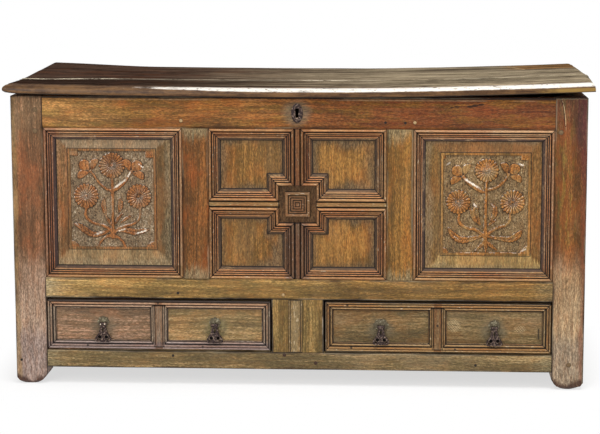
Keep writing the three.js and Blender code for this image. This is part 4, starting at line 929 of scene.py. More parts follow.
def drawer_gap(side):
    """Painted shade in the gap over a drawer and beside it, stains on its moulding, and nail holes."""
    low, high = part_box(side + "_drawer_moulding")
    depth = GAP_SHADE_DEPTH[side]

    def tint(finish, colour, look):
        x, _, z = finish.parts(finish.place())
        over = (high.z - z + (look.blotches - 0.5) * 0.003).ramp(depth, depth * 0.65)
        beside = (high.x - x if side == "left" else x - low.x).ramp(0.0028, 0.0016)
        # Painted shade: near-black in the gap over the drawer and beside it
        colour = colour.mix(SOOT_AND_SHADE, over.most(beside) * 0.95)
        if side == "left":
            colour = colour.stain(towards((106, 90, 83), (121, 102, 83)),
                                  z.ramp(low.z + 0.022, low.z + 0.014))
            colour = colour.stain(towards((125, 96, 74), (122, 101, 82)),
                                  z.ramp(high.z - 0.022, high.z - 0.014))
        strip = (x - (low.x + high.x) / 2).size().ramp(0.0105, 0.0085)
        colour = colour.stain(towards((120, 84, 54), (140, 112, 84)), strip * (look.streaks * 0.8 + 0.4))
        for nail_x, nail_z in NAIL_MARKS[side]:
            away = ((x - nail_x * MM) ** 2 + (z - nail_z * MM) ** 2) ** 0.5
            colour = colour.mix(SOOT_AND_SHADE, away.ramp(0.0036, 0.0022) * 0.85)
        return colour
    return tint


DRAWER_MOULDING = {
    "left": moulding_finish("left_drawer_moulding_oak", crest=tone(166, 138, 110), face=tone(128, 102, 80),
                            low=tone(78, 62, 54), warm=tone(144, 108, 82), pale=tone(172, 158, 140), seed=6.0,
                            tint=drawer_gap("left")),
    "right": moulding_finish("right_drawer_moulding_oak", crest=tone(154, 114, 66), face=tone(116, 82, 46),
                             low=tone(72, 55, 38), warm=tone(146, 95, 48), pale=tone(150, 130, 94), seed=7.0,
                             tint=drawer_gap("right"))}
MUNTIN_MOULDING = moulding_finish("drawer_muntin_strip_oak", crest=tone(156, 126, 80), face=tone(124, 98, 58),
                                  low=tone(84, 66, 42), warm=tone(140, 100, 54), pale=tone(172, 152, 112),
                                  seed=9.0)


# Centre panel: four notched frames, fillets in the cross between them, and the boss

CROSS_GAP = 16 * MM
CROSS_NOTCH = 38 * MM
CENTRE_LOW, CENTRE_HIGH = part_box("centre_moulding")
MIDDLE_Z = (CENTRE_LOW.z + CENTRE_HIGH.z) / 2
# Rows of (distance from the middle, height, grime and painted shade from 0 to 1), in mm, as in all strips
FILLET_ROWS = [(-8, 6.4, 0.9), (-5.5, 6.6, 1.0), (-5.4, 9.4, 0.6), (-4.4, 11.4, 0.2), (-1.2, 11.9, 0.1),
               (0.6, 11.2, 0.3), (1.6, 11.9, 0.1), (4.4, 11.5, 0.2), (5.4, 9.4, 0.6), (5.5, 6.6, 1.0),
               (8, 6.4, 0.9)]


def planted_strip(name, middle, ends, rows, base, axis, seed):
    """A strip along X or Z with the section that the rows give: (across, height, grime and painted shade) in
    mm.
    """
    half = max(rows)[0] * MM
    length = abs(ends[1] - ends[0])
    along = sum(ends) / 2
    upright = axis == "Z"
    place = (middle, base, along) if upright else (along, base, middle)
    bpy.ops.mesh.primitive_plane_add(size=1, location=place, rotation=TO_FRONT)
    piece = named(name, (2 * half, length, 1) if upright else (length, 2 * half, 1))
    across = 0 if upright else 2
    normal = direction(across)
    with editing(piece):
        for offset, _, _ in sorted(rows)[1:-1]:
            bpy.ops.mesh.select_all(action="SELECT")
            bpy.ops.mesh.bisect(plane_co=normal * (middle + offset * MM), plane_no=normal)
        bpy.ops.mesh.select_all(action="SELECT")
        bpy.ops.mesh.extrude_region_move()
        shape = bmesh.from_edit_mesh(piece.data)
        for vertex in shape.verts:
            if vertex.select:
                vertex.co.y -= MM * float(read_off(rows, (vertex.co[across] - middle) / MM))
        bmesh.update_edit_mesh(piece.data)
        turned_out()
    marked(piece, "dirt", read_off(rows, (vertices(piece)[:, across] - middle) / MM, 2))
    passed = vertices(piece)[:, 2 if upright else 0]
    ends_to = np.stack([passed - min(ends), max(ends) - passed, np.full(len(passed), float(upright))], axis=1)
    marked(piece, "ends", ends_to, "FLOAT_VECTOR")
    return with_grain(piece, axis, seed)


def centre_lengths():
    """The lengths of the four notched frames, and the fillets in the cross between them."""
    inner = CROSS_GAP / 2
    notch = inner + CROSS_NOTCH
    wide, tall = CENTRE_HIGH.x, CENTRE_HIGH.z - MIDDLE_Z
    lengths = []
    for way in (-1, 1):
        for up in (-1, 1):
            corners = [(notch, inner), (wide, inner), (wide, tall), (inner, tall), (inner, notch),
                       (notch, notch)]
            outline = [(way * x, MIDDLE_Z + up * z) for x, z in corners]
            lengths += moulded_frame(outline, PANEL_PROFILE, PANEL_BASE, 2.9 * way + 1.3 * up)
        level, upright = (way * notch, way * wide), (MIDDLE_Z + way * notch, MIDDLE_Z + way * tall)
        lengths.append(planted_strip("fillet", MIDDLE_Z, level, FILLET_ROWS, PANEL_BASE, "X", way))
        lengths.append(planted_strip("fillet", 0, upright, FILLET_ROWS, PANEL_BASE, "Z", 4 + way))
    return lengths


def cross_wear(finish, colour, look):
    """Darker uprights of the cross, most below the boss, and less red lengths across it."""
    x, _, z = finish.parts(finish.place())
    ragged = (look.blotches - 0.5) * 0.02
    upright = (x.size() + ragged).ramp(0.036, 0.024)
    above, below = z.ramp(MIDDLE_Z, MIDDLE_Z + 0.04), z.ramp(MIDDLE_Z, MIDDLE_Z - 0.04)
    colour = colour.stain(towards((98, 66, 42), (116, 84, 58)), upright * above)
    colour = colour.stain(towards((88, 64, 49), (116, 84, 58)), upright * below)
    level = (z - MIDDLE_Z).size().ramp(0.010, 0.006) * x.size().ramp(0.034, 0.040)
    return colour.stain(towards((125, 95, 61), (145, 101, 68)), level)


def stepped_boss():
    """The square boss, inset step by step and closed at its back."""
    low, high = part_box("centre_boss")
    outline = rectangle(low.x, high.x, low.z, high.z)
    boss = front_face("boss", outline, PANEL_BASE)
    with editing(boss):
        inset_rows(BOSS_PROFILE)
        pick_rims()
        bpy.ops.mesh.edge_face_add()
        turned_out()
    places = vertices(boss)
    depth = side_distances(outline, places[:, 0], places[:, 2])[1].min(axis=0) / MM
    marked(boss, "dirt", read_off(BOSS_PROFILE, depth, 2))
    marked(boss, "ends", np.full((len(depth), 3), (1.0, 1.0, 0.5)), "FLOAT_VECTOR")
    return with_grain(boss, "X", 8.0)


centre_oak = moulding_finish("centre_moulding_oak", crest=tone(168, 114, 68), face=tone(112, 74, 42),
                             low=tone(80, 62, 46), warm=tone(148, 82, 42), pale=tone(168, 134, 92),
                             tint=cross_wear)
moulded_piece(centre_lengths(), "centre_mitred_moulding", "carcase", centre_oak, "centre_moulding")
boss_oak = moulding_finish("boss_oak", crest=tone(124, 84, 48), face=tone(98, 70, 42), low=tone(86, 66, 42),
                           warm=tone(122, 78, 44), pale=tone(138, 106, 70))
moulded_piece([stepped_boss()], "centre_stepped_boss", "carcase", boss_oak, "centre_boss", wear=0.4)


# Carved panels: each one surface, bevelled round its field, with a spray of flowers sunk into the field

# A share of a flower's radius that no part of it reaches
UNWORN = 10.0


def smooth(low, high, value):
    """0 at low and below, 1 at high and above, and a smooth rise between. With high under low it falls."""
    share = np.clip((value - low) / (high - low), 0, 1)
    return share * share * (3 - 2 * share)


def curve_through(points, steps=10):
    """Points on a smooth curve through a few points."""
    knots = np.array([points[0], *points, points[-1]], float)
    line = []
    for a, b, c, d in zip(knots, knots[1:], knots[2:], knots[3:]):
        for step in range(steps):
            t = step / steps
            line.append(0.5 * (2 * b + (c - a) * t + (2 * a - 5 * b + 4 * c - d) * t ** 2
                               + (3 * b - a - 3 * c + d) * t ** 3))
    line.append(knots[-1])
    return np.array(line)


def near_curve(u, v, points):
    """The signed distance of places to a curve, and how far along it each is nearest, from 0 to 1."""
    line = curve_through(points)
    best = np.full(u.shape, np.inf)
    side = np.ones(u.shape)
    along = np.zeros(u.shape)
    for index, (a, b) in enumerate(zip(line, line[1:])):
        du, dv = b - a
        share = np.clip(((u - a[0]) * du + (v - a[1]) * dv) / (du * du + dv * dv + 1e-9), 0, 1)
        away = np.hypot(u - a[0] - share * du, v - a[1] - share * dv)
        nearer = away < best
        best = np.where(nearer, away, best)
        side = np.where(nearer, np.sign((u - a[0]) * dv - (v - a[1]) * du), side)
        along = np.where(nearer, (index + share) / (len(line) - 1), along)
    return best, side, along


def carved_stem(u, v, points, widths):
    """A round stem that follows a curve."""
    away, _, along = near_curve(u, v, points)
    ratio = away / np.interp(along, np.linspace(0, 1, len(widths)), widths)
    return np.clip(1.25 * np.sqrt(np.clip(1 - ratio ** 2, 0, 1)), 0, 1)


def carved_leaf(u, v, points, widths, veins):
    """A leaf with a midrib and slanting veins."""
    away, side, along = near_curve(u, v, points)
    ratio = away / np.interp(along, np.linspace(0, 1, len(widths)), widths)
    cuts = np.abs(np.sin(math.pi * (along * veins + 0.55 * ratio + 0.25 * side)))
    body = np.clip(1.3 * np.sqrt(np.clip(1 - ratio ** 2, 0, 1)), 0, 1)
    return body * (0.50 + 0.50 * cuts ** 0.6) * (1 - 0.35 * np.exp(-(ratio / 0.16) ** 2))


def carved_daisy(u, v, centre, radius, petals=20, turn=0.0, flat_above=UNWORN):
    """A round flower of fluted petals. Above a share of its radius it can be worn flat."""
    away = np.hypot(u - centre[0], v - centre[1]) / radius
    angle = np.arctan2(v - centre[1], u - centre[0]) + turn
    flute = np.abs(np.sin(angle * petals / 2))
    edge = 0.92 + 0.08 * np.sqrt(flute)
    body = smooth(edge, edge - 0.12, away)
    bowl = 0.62 + 0.38 * smooth(0.12, 0.75, away)
    fluted = 0.36 + 0.64 * flute ** 0.8
    flat = smooth(flat_above - 0.1, flat_above + 0.1, (v - centre[1]) / radius) * smooth(0.62, 0.5, away)
    height = bowl * (fluted * (1 - flat) + 0.95 * flat)
    eye = smooth(0.13, 0.06, away) * 0.25
    return body * np.clip(height + eye, 0, 1)


def petal_rays(u, v, daisies):
    """Thin painted highlights in rays from the middles of the flowers, from 0 to 1."""
    rays = np.zeros(u.shape)
    for centre, radius, petals, turn, _ in daisies:
        away = np.hypot(u - centre[0], v - centre[1]) / radius
        angle = np.arctan2(v - centre[1], u - centre[0]) + turn
        rays = np.maximum(rays, np.abs(np.sin(angle * petals / 2)) ** 5 * smooth(0.80, 0.10, away))
    return rays


def carved_tulip(u, v, foot, size, lean):
    """A flower of five lobes that opens from its foot towards one side. Lean is its turn from upright."""
    across = (u - foot[0]) * math.cos(lean) - (v - foot[1]) * math.sin(lean)
    up = (u - foot[0]) * math.sin(lean) + (v - foot[1]) * math.cos(lean)
    away = np.hypot(across, up) / size
    angle = np.arctan2(across, up)
    lobes = np.abs(np.cos(angle * 2.4))
    reach = (0.62 + 0.38 * lobes ** 0.7) * smooth(1.75, 1.35, np.abs(angle))
    body = smooth(reach, reach - 0.12, away)
    return body * (0.45 + 0.55 * lobes ** 0.6) * (0.55 + 0.45 * smooth(0.1, 0.5, away))


# Places are in hundredths of the field's width, from its middle
SPRAYS = {
    "left": {
        "daisies": [
            ((0.0, 38.6), 15.8, 22, 0.1, UNWORN), ((-29.8, 3.4), 15.2, 20, 0.0, UNWORN),
            ((30.4, 3.2), 15.2, 20, 0.3, UNWORN)],
        "tulips": [((-24.5, 31.5), 17.5, -0.75), ((21.5, 31.0), 17.5, 0.75)],
        "stems": [
            ([(0, 25), (0.3, 8), (0, -20), (0, -34), (0.4, -43)], (1.5, 1.9, 1.9, 2.2, 3.4)),
            ([(-0.8, 9.6), (-6, 11.2), (-11.5, 15.5), (-17, 21.5), (-20.5, 27), (-25, 32)],
             (2.0, 1.6, 1.4, 1.4, 1.6)),
            ([(0.8, 9.8), (7, 13), (13.5, 19), (18, 25), (22, 31.5)], (2.0, 2.3, 2.1, 1.6, 1.6)),
            ([(-30, -11), (-31.2, -18), (-27.6, -24), (-20.2, -28.3), (-10.7, -30.6), (-3.6, -35), (0, -39)],
             (1.7, 1.8, 1.8, 1.8, 1.9, 2.0, 2.4)),
            ([(31.5, -11), (31.4, -18), (28.4, -25), (21.4, -29.2), (13.5, -31), (6, -34.6), (0.8, -39)],
             (1.7, 1.7, 1.7, 1.7, 1.7, 1.9, 2.4)),
            ([(-17.6, -57.5), (-14.5, -50), (-9, -44.4), (-1.2, -42), (6.2, -44.4), (11.6, -50), (15, -57.5)],
             (1.8, 1.5, 1.5, 2.2, 1.5, 1.5, 1.8))],
        "leaves": [
            ([(-9.8, 0.8), (-9.9, -9), (-7.6, -20)], (0.9, 3.5, 3.1, 1.0), 8),
            ([(-7.6, -19), (-5.2, -24), (-2.6, -29)], (0.8, 2.3, 0.8), 4),
            ([(8.2, 0.8), (9.2, -6), (7.8, -14.5)], (0.9, 3.5, 3.3, 1.0), 7),
            ([(3, -28.5), (6.2, -22), (11, -17)], (0.8, 2.4, 0.9), 4),
            ([(9.5, -27), (15, -22.5), (20.5, -19.5)], (0.8, 2.4, 0.8), 4),
            ([(-43.5, -29), (-37, -32), (-31, -36.5), (-22.6, -41), (-13.4, -40), (-5, -36.6)],
             (1.2, 3.9, 4.3, 3.8, 3.0, 1.3), 11),
            ([(5, -36.8), (13, -35.6), (24, -37.5), (33, -36.6), (41, -35)], (1.3, 3.4, 4.4, 3.6, 1.0), 11)],
        "blocks": [(-50, -38.5, 49.5, 60), (38, 50, 47.5, 60)],
        "quarters": [(-50, -60, 12.6), (50, -60, 12.6)],
    },
    "right": {
        "daisies": [
            ((1.0, 38.4), 14.4, 20, 0.1, 0.02), ((-30.4, 2.6), 14.6, 20, 0.2, UNWORN),
            ((30.0, 2.6), 14.8, 20, 0.0, UNWORN)],
        "tulips": [((-25.0, 31.0), 17.0, -0.80), ((25.2, 33.0), 17.0, 0.75)],
        "stems": [
            ([(1, 26), (0.3, 8), (0, -20), (0, -32), (-0.4, -41)], (1.5, 1.8, 1.9, 2.3, 3.0)),
            ([(-3.0, 14), (-10.9, 17.8), (-20.1, 25.1), (-25, 31)], (1.9, 2.3, 2.1, 1.6)),
            ([(1.0, 15.8), (12.5, 19.6), (21.3, 27), (25, 34)], (2.0, 1.6, 1.5, 1.6)),
            ([(-29.4, -12), (-30, -18), (-27, -23), (-20.1, -27.3), (-12.1, -28.4), (-5.2, -32.9),
              (-0.8, -37)],
             (1.7, 1.9, 1.9, 1.9, 1.9, 2.0, 2.3)),
            ([(27, -12), (27.2, -17.6), (22.6, -23.4), (14.4, -26.1), (6.3, -30.8), (0.8, -36)],
             (1.7, 1.8, 1.8, 1.8, 1.9, 2.3)),
            ([(-48, -57), (-20, -55.4), (0, -55.8), (25, -55.2), (48, -57)], (1.2, 1.0, 1.2, 1.0, 1.2))],
        "leaves": [
            ([(-9.0, -1), (-11.5, -9), (-9.4, -17), (-5.6, -23)], (1.0, 4.4, 4.8, 3.0, 0.9), 10),
            ([(-17.6, -4.5), (-15.2, -12), (-11.5, -20)], (0.9, 2.2, 1.0), 5),
            ([(7.0, 0.6), (10.4, -4.5), (10, -12), (6.0, -18.5)], (0.9, 3.4, 3.5, 1.0), 8),
            ([(3, -24), (7.4, -20.5), (11.8, -17.5)], (0.7, 2.0, 0.7), 4),
            ([(-41, -27.6), (-36.5, -34.5), (-27.5, -40.4), (-15.5, -39.6), (-4, -35.6)],
             (1.3, 3.8, 4.5, 3.4, 1.2), 12),
            ([(3.2, -36.6), (16, -38.6), (27.5, -39.6), (35.6, -35.5), (40.2, -30)],
             (1.2, 2.8, 3.9, 4.7, 1.6), 12),
            ([(0.4, -41.5), (-4.6, -46.5), (-10.5, -52.5)], (0.9, 2.4, 1.0), 4),
            ([(0.4, -41.5), (0.6, -47), (0.8, -53.5)], (0.9, 2.5, 1.0), 4),
            ([(0.6, -41.5), (6.2, -46.5), (12.6, -52)], (0.9, 2.4, 1.0), 4)],
        "blocks": [(38.5, 50, 50, 60), (-50, -45, 51, 60)],
        "quarters": [(-50, -58, 9.5), (50, -58, 11.5)],
    },
}
RIM_WIDTH = 2.7


def carving(u, v, half_height, spray, cloud):
    """The height of the carving over its ground, from 0 to 1."""
    height = np.zeros(u.shape)
    for centre, radius, petals, turn, flat in spray["daisies"]:
        height = np.maximum(height, carved_daisy(u, v, centre, radius, petals, turn, flat))
    for foot, size, lean in spray["tulips"]:
        height = np.maximum(height, carved_tulip(u, v, foot, size, lean))
    for points, widths, veins in spray["leaves"]:
        height = np.maximum(height, 0.92 * carved_leaf(u, v, points, widths, veins))
    for points, widths in spray["stems"]:
        height = np.maximum(height, carved_stem(u, v, points, widths))
    ragged = 0.5 * cloud
    for left, right, foot, top in spray["blocks"]:
        inside = np.minimum.reduce([u - left, right - u, v - foot, top - v])
        height = np.maximum(height, smooth(-0.3, 0.4, inside + ragged))
    for corner_u, corner_v, radius in spray["quarters"]:
        away = np.hypot(u - corner_u, v - corner_v) + ragged
        height = np.maximum(height, smooth(radius + 0.4, radius - 0.4, away))
    rim = np.minimum(50 - np.abs(u), half_height - np.abs(v))
    return np.maximum(height, smooth(RIM_WIDTH + 0.35, RIM_WIDTH - 0.35, rim + 0.4 * ragged))


def cloud_at(places, cell):
    """Smooth noise at places, about -1 to 1."""
    return np.array([noise.noise(Vector(place) / cell) for place in places])


# How far a panel's field lies inside its opening at the left, right, top and foot, in mm
FIELD_INSETS = {"left": (58, 66, 52, 70), "right": (67, 56, 57, 62)}
# How many grid lines cross a field, and its heights in mm
FIELD_LINES = (236, 280)
FIELD_RISE = 5.0
FIELD_STEP = 1.3
GROUND_DEPTH = 4.3
BEVEL_START = 29 * MM


def spread(low, high, bevel, field, fine):
    """Places for the rows of a panel's grid: few in its margins, many in its field."""
    return np.concatenate([np.linspace(low, bevel[0], 3)[:-1], np.linspace(bevel[0], field[0], 9)[:-1],
                           np.linspace(field[0], field[1], fine), np.linspace(field[1], bevel[1], 9)[1:],
                           np.linspace(bevel[1], high, 3)[1:]])


# Painted highlights on the carving, as rows of (start, end, width) in hundredths of a panel's field
HIGHLIGHT_STREAKS = {
    "left": [((2, 12.4), (16, 22.5), 1.5), ((18, 25), (21, 31), 0.9), ((-21, -40.8), (-8, -37.2), 1.5),
             ((26, -40), (39, -35.6), 1.2), ((30, 41), (36, 36), 0.9), ((-43, -28), (-39, -30.5), 0.9),
             ((5, -37), (15, -34), 0.8)],
    "right": [((-27, 31), (-6, 17.4), 1.5), ((-14, 1), (-10, -3), 1.2), ((6, 1), (10, -3), 1.2),
              ((-45, 43), (-40, 47), 1.0), ((36, 46), (42, 44), 1.0), ((-36, -36), (-30, -39), 0.9),
              ((-46, -57), (-20, -56), 0.7), ((40, -53), (46, -50), 0.9)],
}


def highlight_streaks(u, v, side, cloud):
    """Ragged bright streaks of painted highlight on the carving, from 0 to 1."""
    shine = np.zeros(u.shape)
    for (au, av), (bu, bv), width in HIGHLIGHT_STREAKS[side]:
        run = (bu - au) ** 2 + (bv - av) ** 2
        share = np.clip(((u - au) * (bu - au) + (v - av) * (bv - av)) / run, 0, 1)
        away = np.hypot(u - au - share * (bu - au), v - av - share * (bv - av))
        away = away + 0.9 * cloud + 0.25 * np.sin(share * 19)
        fading = smooth(-0.1, 0.25, share) * smooth(1.1, 0.75, share)
        shine = np.maximum(shine, smooth(width * 0.9, width * 0.2, away) * fading)
    return shine


def carved_panel(side):
    """A panel as one surface: its bevel, a small step up to its field, and the carving in the field."""
    low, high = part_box(side + "_carved_panel")
    open_low, open_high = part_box(side + "_panel_moulding")
    left, right, top, foot = [inset * MM for inset in FIELD_INSETS[side]]
    field_x = (open_low.x + left, open_high.x - right)
    field_z = (open_low.z + foot, open_high.z - top)
    bevel_x = (open_low.x + BEVEL_START, open_high.x - BEVEL_START)
    bevel_z = (open_low.z + BEVEL_START, open_high.z - BEVEL_START)
    columns = spread(low.x, high.x, bevel_x, field_x, FIELD_LINES[0])
    rows = spread(low.z, high.z, bevel_z, field_z, FIELD_LINES[1])
    bpy.ops.mesh.primitive_grid_add(x_subdivisions=len(columns) - 1, y_subdivisions=len(rows) - 1, size=1,
                                    location=(0, PANEL_BASE, 0), rotation=TO_FRONT)
    panel = named(side + "_flower_panel")
    places = vertices(panel)
    x = columns[np.rint((places[:, 0] + 0.5) * (len(columns) - 1)).astype(int)]
    z = rows[np.rint((places[:, 2] + 0.5) * (len(rows) - 1)).astype(int)]
    flat = np.stack([x, 0 * x, z], axis=1)
    cloud = cloud_at(flat, 6 * MM)
    fine_cloud = cloud_at(flat + 3.0, 1.9 * MM)

    # The bevel rises to a small step round the field
    width, height = field_x[1] - field_x[0], field_z[1] - field_z[0]
    outside_x = np.maximum(np.maximum(field_x[0] - x, x - field_x[1]), 0)
    outside_z = np.maximum(np.maximum(field_z[0] - z, z - field_z[1]), 0)
    reach_x = np.where(x < field_x[0], field_x[0] - bevel_x[0], bevel_x[1] - field_x[1])
    reach_z = np.where(z < field_z[0], field_z[0] - bevel_z[0], bevel_z[1] - field_z[1])
    slope = np.clip(1 - np.maximum(outside_x / reach_x, outside_z / reach_z), 0, 1)
    inside = (outside_x <= 0) & (outside_z <= 0)
    bevel_height = slope * (FIELD_RISE - FIELD_STEP) + 0.25 * cloud * (slope > 0)

    unit = width / 100
    u = (x - sum(field_x) / 2) / unit
    v = (z - sum(field_z) / 2) / unit
    relief = carving(u, v, height / unit / 2, SPRAYS[side], cloud)
    relief = relief * (0.90 + 0.10 * cloud)
    ground = FIELD_RISE - GROUND_DEPTH + 0.28 * cloud + 0.34 * fine_cloud
    field_height = ground + relief * (FIELD_RISE - ground - 0.12 * np.abs(fine_cloud))
    face = np.where(inside, field_height, bevel_height)
    reshaped(panel, np.stack([x, PANEL_BASE - face * MM, z], axis=1))
    rim = smooth(RIM_WIDTH + 0.3, RIM_WIDTH - 0.5, np.minimum(50 - np.abs(u), height / unit / 2 - np.abs(v)))
    marked(panel, "relief", np.where(inside, relief, 0.0))
    marked(panel, "field", inside * (1 - rim))
    # Painted highlights: edges that face up and to the left, rays in the flowers, and the listed streaks
    above = carving(u - 0.5, v + 0.7, height / unit / 2, SPRAYS[side], cloud)
    glint = np.maximum(smooth(0.15, 0.45, relief - above) * smooth(-0.25, 0.10, cloud),
                       petal_rays(u, v, SPRAYS[side]["daisies"]))
    glint = glint * smooth(-0.20, 0.20, fine_cloud) * 0.85
    marked(panel, "glint", inside * (1 - rim) * np.maximum(glint,
                                                           1.45 * highlight_streaks(u, v, side, fine_cloud)))
    with editing(panel, "EDGE"):
        pick_rims()
        bpy.ops.mesh.extrude_edges_move(TRANSFORM_OT_translate={"value": (0, high.y - PANEL_BASE, 0)})
        bpy.ops.mesh.edge_face_add()
        turned_out()
    return panel


PANEL_MIDDLE = 455 * MM
# What the four slopes of a panel are stained by: left, right, top and foot
SLOPE_STAINS = {
    "left": (towards((136, 95, 63), (127, 101, 69)), towards((113, 85, 55), (129, 101, 69)),
             towards((151, 128, 101), (131, 106, 73)), towards((154, 127, 92), (123, 97, 65))),
    "right": (towards((125, 93, 55), (150, 116, 74)), towards((129, 90, 52), (149, 114, 72)),
              towards((122, 85, 50), (133, 100, 64)), towards((165, 134, 86), (128, 97, 60))),
}
# Even tones of the slopes below and above the field
SLOPE_TONES = {"left": (tone(150, 124, 90), tone(146, 124, 98)),
               "right": (tone(160, 130, 84), tone(124, 88, 54))}
# The stains of the ground and of the carving, and how bright the painted highlights on its edges are
FIELD_LOOKS = {"left": (WHITE, WHITE, 0.95),
               "right": (towards((133, 101, 69), (135, 107, 83)), towards((142, 96, 56), (134, 88, 58)),
                         0.85)}


def carved_look(side):
    """Slopes of four tones, a reddish rim, dusty ground, and rubbed carving with painted shade on its walls
    and painted highlights on its edges.
    """
    low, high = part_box(side + "_panel_moulding")
    left, right, top, foot = [inset * MM for inset in FIELD_INSETS[side]]
    stains = SLOPE_STAINS[side]

    def tint(finish, colour, look):
        x, _, z = finish.parts(finish.place())
        past_left, past_right = low.x + left - x, x - high.x + right
        past_top, past_foot = z - high.z + top, low.z + foot - z
        beside, over = past_left.most(past_right), past_top.most(past_foot)
        past = beside.most(over)
        level = (over - beside + (look.streaks - 0.5) * 0.012).ramp(-0.007, 0.007)
        middle_x = (low.x + high.x) / 2
        rightward, upward = x.ramp(middle_x, middle_x + MM), z.ramp(PANEL_MIDDLE, PANEL_MIDDLE + MM)
        slope = finish.mix(finish.mix(stains[0], stains[1], rightward),
                           finish.mix(stains[3], stains[2], upward), level)
        colour = colour.stain(slope, past.ramp(-0.001, 0.001) * (look.streaks * 0.4 + 0.7))
        even = finish.mix(*SLOPE_TONES[side], upward)
        colour = colour.mix(even, level * past.ramp(-0.001, 0.001) * 0.5)
        dusty = (past + (look.stains - 0.5) * 0.05).ramp(0.018, 0.032) * 0.4
        dust = finish.mix(tone(96, 84, 62), tone(158, 146, 118), look.specks)
        colour = colour.mix(dust, dusty)
        rim = towards((144, 98, 62) if side == "left" else (138, 104, 64), (130, 103, 70))
        colour = colour.stain(rim, past.ramp(0.0005, -0.0005) * (look.streaks * 0.8 + 0.3))
        colour = colour.mix(SOOT_AND_SHADE, past.ramp(-0.0006, 0.0002) * past.ramp(0.0026, 0.0014) * 0.8)
        return carved(finish, colour, look, *FIELD_LOOKS[side])
    return tint


def carved(finish, colour, look, ground_stain, carving_stain, shine):
    """Dusty punched ground, rubbed carving with painted shade on its walls, and painted highlights on its
    edges.
    """
    relief = finish.attribute("relief")
    fine = finish.noise(finish.place(), (0.0026, 0.0026, 0.0034), detail=3.0, rough=0.7)
    patches = finish.noise(finish.place(), 0.026, detail=3.0, rough=0.6)
    punched = fine.ramp(0.38, 0.53) * 0.8 + patches.ramp(0.35, 0.65) * 0.3
    ground = finish.mix(tone(64, 50, 38), tone(140, 118, 90), punched)
    ground = ground.mix(tone(198, 186, 164), fine.ramp(0.56, 0.65) * patches.ramp(0.36, 0.56) * 0.8)
    raised = finish.mix(tone(88, 50, 28), tone(178, 118, 66),
                        look.streaks * 0.35 + fine.ramp(0.42, 0.58) * 0.65)
    raised = raised.mix(tone(152, 128, 96), patches.ramp(0.48, 0.64) * 0.5)
    ground, raised = ground.stain(ground_stain), raised.stain(carving_stain)
    worked = ground.mix(raised, relief.ramp(0.30, 0.60))
    # Painted shade: dark walls round the carving
    wall_shade = relief.ramp(0.03, 0.12) * relief.ramp(0.60, 0.34)
    worked = worked.mix(tone(34, 20, 14), wall_shade * 0.95)
    # Painted highlights on the carving's edges
    shining = finish.attribute("glint")
    glint = (shining * patches.ramp(0.36, 0.50)).most(shining - 0.75)
    worked = worked.mix(tone(232, 222, 206), glint * shine)
    return colour.mix(worked, finish.attribute("field"))


PANEL_TONES = {"left": tones(132, 106, 76), "right": tones(137, 106, 68)}
for index, side in enumerate(SIDES):
    material = oak(side + "_panel_oak", grain="Z", seed=4.4 + index, tint=carved_look(side), rough=0.46,
                   **PANEL_TONES[side])
    finished(carved_panel(side), "carcase", "oak_panel", material, side + "_carved_panel", angle=50)


# Plain panels, the floor and the runners

# How far from the centre panel's middle its mouldings and its boss reach, across and up
MOULDING_INNER = 38 * MM
MOULDING_OUTER = (187 * MM, 156 * MM)
NOTCH_OUTER = 68 * MM
BOSS_OUTER = 50 * MM


def centre_wear(finish, colour, look):
    """Golden middles, grey grime along the mouldings round each of the four fields, and a painted shadow
    round the boss.
    """
    x, _, z = finish.parts(finish.place())
    across, up = x.size(), (z - MIDDLE_Z).size()
    near = (across - MOULDING_INNER).least(MOULDING_OUTER[0] - across)
    near = near.least(up - MOULDING_INNER).least(MOULDING_OUTER[1] - up)
    notched = (across - NOTCH_OUTER).most(up - NOTCH_OUTER)
    near = near.least(notched) + (look.stains - 0.5) * 0.10
    golden = finish.mix(tone(140, 94, 42), tone(176, 130, 66), look.specks * 0.6 + look.streaks * 0.4)
    colour = colour.mix(golden, near.ramp(0.010, 0.040) * x.ramp(-0.12, 0.10) * 0.55)
    dirty = finish.mix(tone(74, 60, 44), tone(118, 100, 74), look.specks)
    colour = colour.mix(dirty, near.ramp(0.022, -0.004) * 0.8)
    # Painted shadow of the boss, under and just round it
    boss_shadow = finish.mix(tone(76, 50, 34), tone(122, 88, 56), look.specks * 0.7 + look.stains * 0.3)
    return colour.mix(boss_shadow, across.most(up).ramp(BOSS_OUTER + 2 * MM, BOSS_OUTER - 2 * MM) * 0.75)


BOARDS = [("centre_panel", "Z", CENTRE_FIELD, centre_wear), ("left_side_panel", "Z", SIDE_FIELD, None),
          ("right_side_panel", "Z", SIDE_FIELD, None), ("back_panel", "X", SIDE_FIELD, None),
          ("chest_floor", "X", RAW, None), ("left_runner", "Y", RAW, None), ("centre_runner", "Y", RAW, None),
          ("right_runner", "Y", RAW, None)]
for index, (node, grain, board, wear) in enumerate(BOARDS):
    raw = board is RAW
    material = oak(node + "_oak", grain=grain, seed=7.7 + 1.3 * index, rough=0.7 if raw else 0.5, tint=wear,
                   **board)
    timber(node, "carcase", "raw_oak" if raw else "oak_panel", material, AXES[grain], wear=0.5)


# Drawers

STRIP_ROWS = [(-14, 4.2, 1.0), (-13.4, 6.2, 0.4), (-11.8, 7.0, 0.1), (-10.4, 6.0, 0.6), (-10, 4.8, 1.0),
              (-9.2, 4.8, 1.0), (-8.6, 6.8, 0.4), (-5.0, 8.2, 0.1), (5.0, 8.2, 0.1), (8.6, 6.8, 0.4),
              (9.2, 4.8, 1.0), (10, 4.8, 1.0), (10.4, 6.0, 0.6), (11.8, 7.0, 0.1), (13.4, 6.2, 0.4),
              (14, 4.2, 1.0)]
BORDER_WIDTH = 13 * MM
STRIP_WIDTH = 28 * MM
STRIP_OVERLAP = 7 * MM
DRAWER_BACKING = 0.3 * MM
# Patches of crossed scratches on the right drawer: middle along and up, and half their width and height
SCRATCHED = ((0.383, 0.156, 0.020, 0.022), (0.545, 0.150, 0.020, 0.013))
SCRATCH_GAP = 6.2 * MM
SLIT_X = 590 * MM
SLIT_ENDS = (123 * MM, 152 * MM)


